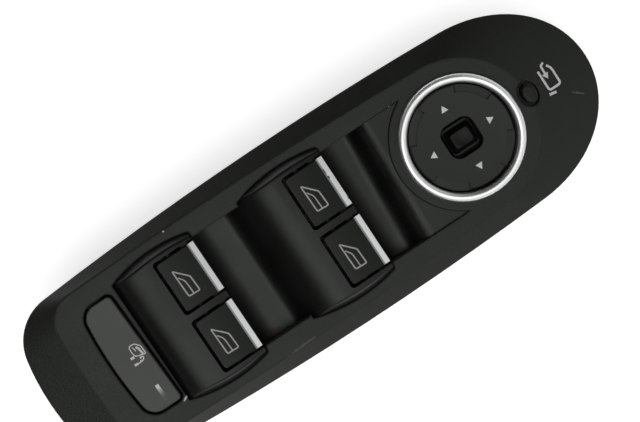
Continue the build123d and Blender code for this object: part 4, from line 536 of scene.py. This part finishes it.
def turned(name, profile, centre, start, end, steps):
    """A profile of radius and height turned about a centre through part of a circle."""
    mesh = bpy.data.meshes.new(name)
    build = bmesh.new()
    rows = []
    for k in range(steps + 1):
        angle = math.radians(start + (end - start) * k / steps)
        cos, sin = math.cos(angle), math.sin(angle)
        rows.append([build.verts.new((centre.x + r * cos, centre.y + r * sin, z)) for r, z in profile])
    count = len(profile)
    for row, after in zip(rows, rows[1:]):
        for k in range(count):
            build.faces.new((row[k], row[(k + 1) % count], after[(k + 1) % count], after[k]))
    build.faces.new(rows[0])
    build.faces.new(rows[-1])
    bmesh.ops.recalc_face_normals(build, faces=build.faces)
    build.to_mesh(mesh)
    build.free()
    piece = bpy.data.objects.new(name, mesh)
    bpy.context.scene.collection.objects.link(piece)
    return piece


# Lip under the mirror collar that closes the seam beside the wave panel: radii and heights, and its degrees
LIP_PROFILE = [(22.9, 31.1), (23.7, 31.1), (23.7, 30.6), (25.6, 30.6), (25.6, 30.1), (22.9, 30.1)]
LIP_START, LIP_END, LIP_STEPS = 112, 248, 76
ring_low, ring_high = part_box("mirror_ring")
RING = Vector(((ring_low[0] + ring_high[0]) / 2, 0.0))
lip_profile = [(r * MM, z * MM) for r, z in LIP_PROFILE]
collar_lip = turned("collar_lip", lip_profile, RING, LIP_START, LIP_END, LIP_STEPS)
collar_lip.data.materials.append(finishes["inner_black"])
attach(collar_lip, "switch_frame")


# Rounding of the moulded edges in millimetres, and the angle from which an edge is rounded
EDGES = {"bezel": 0.28, "wave_panel": 0.22, "lock_button": 0.12, "mirror_pad": 0.12, "selector_knob": 0.15}
EDGE_ANGLE = math.radians(24)
for name, width in EDGES.items():
    piece = wave_skin if name == "wave_panel" else nodes[name]
    bevel = piece.modifiers.new("edge", "BEVEL")
    bevel.width = width * MM
    bevel.segments = 2
    bevel.limit_method = "ANGLE"
    bevel.angle_limit = EDGE_ANGLE
    bevel.use_clamp_overlap = True
    bevel.harden_normals = False


# Rounded corners of a printed line: runs in each, and the part of a side (1 / CORNER_SHARE) that each may use
CORNER_STEPS = 4
CORNER_SHARE = 2.2


def rounded(points, radius, closed=False):
    """A line of straight runs with its corners rounded."""
    points = [Vector(point) for point in points]
    count = len(points)
    line = []
    for i, corner in enumerate(points):
        if not closed and i in (0, count - 1):
            line.append(corner)
            continue
        before = points[i - 1] - corner
        after = points[(i + 1) % count] - corner
        cut = min(radius, before.length / CORNER_SHARE, after.length / CORNER_SHARE)
        start = corner + before.normalized() * cut
        end = corner + after.normalized() * cut
        for k in range(CORNER_STEPS + 1):
            t = k / CORNER_STEPS
            line.append(start * (1 - t) ** 2 + corner * 2 * t * (1 - t) + end * t**2)
    return line


def ribbon(points, width, closed=False):
    """Outline strip of a printed line: rows of left and right points, and the faces between them."""
    points = [Vector(point) for point in points]
    if closed:
        points.append(points[0])
    fine = [points[0]]
    for start, end in zip(points, points[1:]):
        pieces = max(1, math.ceil((end - start).length / INK_STEP))
        fine += [start.lerp(end, (k + 1) / pieces) for k in range(pieces)]
    if closed:
        fine.pop()
    count = len(fine)
    verts = []
    for i, point in enumerate(fine):
        if closed:
            ahead = fine[(i + 1) % count] - point
            behind = point - fine[i - 1]
        else:
            here = min(i, count - 2)
            ahead = fine[here + 1] - fine[here]
            before = max(i - 1, 0)
            behind = fine[before + 1] - fine[before]
        first, second = ahead.normalized(), behind.normalized()
        along = (first + second).normalized()
        across = Vector((-along.y, along.x))
        widen = 1 / max(SHARPEST_CORNER, along.dot(first))
        verts += [point + across * width / 2 * widen, point - across * width / 2 * widen]
    rows = range(count if closed else count - 1)
    faces = [(2 * i, 2 * i + 1, (2 * i + 3) % (2 * count), (2 * i + 2) % (2 * count)) for i in rows]
    return verts, faces


# Sides of a printed dot, and rows of small faces in an arrow
DISC_SIDES = 20
TRIANGLE_ROWS = 5


def disc(centre, radius):
    """A filled round dot."""
    verts = [Vector(centre)]
    for k in range(DISC_SIDES):
        angle = 2 * math.pi * k / DISC_SIDES
        verts.append(Vector(centre) + radius * Vector((math.cos(angle), math.sin(angle))))
    faces = [(0, k + 1, (k + 1) % DISC_SIDES + 1) for k in range(DISC_SIDES)]
    return verts, faces


def triangle(centre, size, turn):
    """A filled equilateral triangle of the given side, its tip turned to an angle."""
    rows = TRIANGLE_ROWS
    tips = []
    for k in range(3):
        angle = turn + 2 * math.pi * k / 3
        tips.append(Vector(centre) + size / math.sqrt(3) * Vector((math.cos(angle), math.sin(angle))))
    verts, faces, at = [], [], {}
    for i in range(rows + 1):
        for j in range(rows + 1 - i):
            at[i, j] = len(verts)
            verts.append(tips[0] + (tips[1] - tips[0]) * i / rows + (tips[2] - tips[0]) * j / rows)
    for i in range(rows):
        for j in range(rows - i):
            faces.append((at[i, j], at[i + 1, j], at[i, j + 1]))
            if i + j < rows - 1:
                faces.append((at[i + 1, j], at[i + 1, j + 1], at[i, j + 1]))
    return verts, faces


surfaces = {}


def surface(name):
    """Search tree of one node's finished surface, bevels included."""
    if name not in surfaces:
        bpy.context.view_layer.update()
        shape = nodes[name].evaluated_get(bpy.context.evaluated_depsgraph_get())
        mesh = shape.to_mesh()
        points = [shape.matrix_world @ vertex.co for vertex in mesh.vertices]
        surfaces[name] = BVHTree.FromPolygons(points, [list(face.vertices) for face in mesh.polygons])
        shape.to_mesh_clear()
    return surfaces[name]


def printed(name, node, body, shapes, material):
    """Ink laid on a node from above: each flat shape is dropped onto the surface and given its thickness."""
    tree = surface(node)
    mesh = bpy.data.meshes.new(name)
    build = bmesh.new()
    for verts, faces in shapes:
        corners = []
        for vert in verts:
            hit = tree.ray_cast(Vector((vert.x, vert.y, DROP_HEIGHT)), Vector((0, 0, -1)))[0]
            corners.append(build.verts.new((vert.x, vert.y, hit.z + INK_LIFT)))
        for face in faces:
            build.faces.new([corners[k] for k in face])
    bmesh.ops.recalc_face_normals(build, faces=build.faces)
    if build.faces and sum(face.normal.z for face in build.faces) < 0:
        bmesh.ops.reverse_faces(build, faces=build.faces)
    build.to_mesh(mesh)
    build.free()
    piece = bpy.data.objects.new(name, mesh)
    bpy.context.scene.collection.objects.link(piece)
    solid = piece.modifiers.new("thickness", "SOLIDIFY")
    solid.thickness = INK_THICK
    solid.offset = 1
    mesh.materials.append(material)
    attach(piece, body)
    return piece


def at(origin, points):
    """Points in millimetres from an origin, as flat places in metres."""
    return [Vector((origin[0] + x * MM, origin[1] + y * MM)) for x, y in points]


# Window symbols: outer frame and the line of the lowered glass, from the frame's lower rear corner
WINDOW_FRAME = [(0, 0), (-0.2, 9.7), (3.9, 5.3), (4.1, -0.2)]
WINDOW_GLASS = [(0.3, 6.9), (1.7, 5.0), (1.9, 0.0)]
SYMBOL_FROM_FRONT = 10.9 * MM
SYMBOL_FROM_MIDDLE = 5.1 * MM
for place in ("rear_left", "rear_right", "front_left", "front_right"):
    low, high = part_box(f"rocker_{place}")
    origin = (high[0] - SYMBOL_FROM_FRONT, (low[1] + high[1]) / 2 - SYMBOL_FROM_MIDDLE)
    outline = rounded(at(origin, WINDOW_FRAME), 0.5 * MM, closed=True)
    glass = rounded(at(origin, WINDOW_GLASS), 0.9 * MM)
    shapes = [ribbon(outline, ICON_LINE, closed=True), ribbon(glass, 0.85 * ICON_LINE)]
    printed(f"window_symbol_{place}", f"rocker_{place}", f"rocker_{place}", shapes, icon_ink)

# Arrows of the four-way pad
ARROW_REACH = 10.8 * MM
ARROW_SIDE = 2.5 * MM
arrows = []
for k in range(4):
    turn = k * math.pi / 2
    middle = RING + ARROW_REACH * Vector((math.cos(turn), math.sin(turn)))
    arrows.append(triangle(middle, ARROW_SIDE, turn))
printed("pad_arrows", "mirror_pad", "mirror_pad", arrows, arrow_ink)

# Fold symbol in front of the fold button: a mirror's outline, an arrow into it and its foot
FOLD_SYMBOL = (0.0, 0.0)
fold_outline = [(92.4, 4.4), (93.4, 2.9), (93.4, -3.1), (88.9, -3.1), (88.9, 4.2)]
fold_arrow = [(92.0, 5.7), (90.7, 5.2), (90.6, 2.2)]
fold_tip = [(90.6, 1.7)]
fold_foot = [(88.1, -4.2), (90.6, -4.7)]
shapes = [
    ribbon(rounded(at(FOLD_SYMBOL, fold_outline), 1.0 * MM), FOLD_LINE),
    ribbon(rounded(at(FOLD_SYMBOL, fold_arrow), 1.2 * MM), FOLD_LINE),
    triangle(at(FOLD_SYMBOL, fold_tip)[0], 2.3 * MM, -math.pi / 2),
    ribbon(at(FOLD_SYMBOL, fold_foot), 1.15 * FOLD_LINE),
]
printed("fold_symbol", "bezel", "switch_frame", shapes, symbol_ink("fold_ink", 0.62, wear=0.35))

# Lock symbol: a window with its glass, and a small rounded catch below it
LOCK_SYMBOL = (-71.7 * MM, -0.6 * MM)
lock_window = [(-0.7, 3.5), (1.3, 3.6), (2.9, 1.9), (3.05, -1.3), (-0.5, -0.3), (-0.8, 1.2)]
lock_glass = [(1.3, 2.3), (1.9, 1.3), (2.15, -0.8)]
lock_line = [(0.3, 2.8), (0.65, 1.1)]
lock_catch = [(0.8, -1.45), (1.75, -1.5), (1.4, -2.45), (0.3, -2.8), (-1.0, -2.75)]
lock_upper_bar = [(-2.3, -0.2), (-0.9, -0.25)]
lock_lower_bar = [(-2.3, -2.65), (-1.0, -2.7)]
lock_dots = [(0.8, -1.5), (0.3, -2.5)]
shapes = [
    ribbon(rounded(at(LOCK_SYMBOL, lock_window), 0.7 * MM, closed=True), 0.36 * MM, closed=True),
    ribbon(rounded(at(LOCK_SYMBOL, lock_glass), 0.5 * MM), 0.72 * MM),
    ribbon(at(LOCK_SYMBOL, lock_line), 0.32 * MM),
    ribbon(rounded(at(LOCK_SYMBOL, lock_catch), 0.5 * MM), 0.40 * MM),
    ribbon(at(LOCK_SYMBOL, lock_upper_bar), 0.85 * MM),
    ribbon(at(LOCK_SYMBOL, lock_lower_bar), 0.80 * MM),
    disc(at(LOCK_SYMBOL, lock_dots)[0], 0.38 * MM),
    disc(at(LOCK_SYMBOL, lock_dots)[1], 0.36 * MM),
]
printed("lock_symbol", "lock_button", "lock_button", shapes, symbol_ink("lock_ink", 0.62, wear=0.15))

# Floor
FLOOR_CORNERS = [(-3, -3, 0), (3, -3, 0), (3, 3, 0), (-3, 3, 0)]
floor_mesh = bpy.data.meshes.new("floor")
floor_mesh.from_pydata(FLOOR_CORNERS, [], [(0, 1, 2, 3)])
floor = bpy.data.objects.new("floor", floor_mesh)
bpy.context.scene.collection.objects.link(floor)
paper = Shade("floor_pale")
tone = paper.mix(paper.noise(40, 2), grey(0.93), grey(0.97))
paper.put(paper.bsdf.inputs["Emission Color"], (1, 1, 1, 1))
seen = paper.math("MAXIMUM", *light_paths(paper.tree))
paper.put(paper.bsdf.inputs["Emission Strength"], paper.math("MULTIPLY", seen, FLOOR_GLOW))
floor_mesh.materials.append(paper.done(tone, 0.85))

# World: the room's glows, and white for the camera, and below the horizon in gloss and clear parts
world = bpy.data.worlds.new("studio")
bpy.context.scene.world = world
world.use_nodes = True
sky = world.node_tree
background = sky.nodes["Background"]
background.inputs["Color"].default_value = (1, 1, 1, 1)
direction = sky.nodes.new("ShaderNodeTexCoord").outputs["Generated"]
total = ROOM_DARK
for axis, none, full, strength in GLOWS:
    toward = sky.nodes.new("ShaderNodeVectorMath")
    toward.operation = "DOT_PRODUCT"
    toward.inputs[1].default_value = Vector(axis).normalized()
    sky.links.new(direction, toward.inputs[0])
    glow = sky.nodes.new("ShaderNodeMapRange")
    glow.interpolation_type = "SMOOTHSTEP"
    glow.inputs["From Min"].default_value = none
    glow.inputs["From Max"].default_value = full
    glow.inputs["To Max"].default_value = strength
    sky.links.new(toward.outputs["Value"], glow.inputs["Value"])
    total = calculate(sky, "ADD", glow.outputs[0], total)
heights = sky.nodes.new("ShaderNodeSeparateXYZ")
sky.links.new(direction, heights.inputs[0])
below = calculate(sky, "LESS_THAN", heights.outputs["Z"], 0.0)
direct, mirrored = light_paths(sky)
seen = calculate(sky, "MAXIMUM", direct, calculate(sky, "MULTIPLY", mirrored, below))
choose = sky.nodes.new("ShaderNodeMix")
choose.data_type = "FLOAT"
put(sky, choose.inputs["Factor"], seen)
put(sky, choose.inputs["A"], total)
put(sky, choose.inputs["B"], 1.0)
put(sky, background.inputs["Strength"], choose.outputs["Result"])

# Camera
camera_data = bpy.data.cameras.new("camera")
camera = bpy.data.objects.new("camera", camera_data)
bpy.context.scene.collection.objects.link(camera)
bpy.context.scene.camera = camera
camera_data.sensor_width = SENSOR
camera_data.lens = SENSOR * FOCAL_PIXELS / IMAGE_WIDTH
camera_data.clip_start = 10 * MM
back = (CAMERA_PLACE - CAMERA_AIM).normalized()
right = (Vector((1, 0, 0)) - back * back.x).normalized()
up = back.cross(right)
turn = Matrix((right, up, back)).transposed().to_4x4()
camera.matrix_world = Matrix.Translation(CAMERA_PLACE) @ turn @ Matrix.Rotation(CAMERA_ROLL, 4, "Z")

bpy.context.scene.view_settings.view_transform = "Standard"
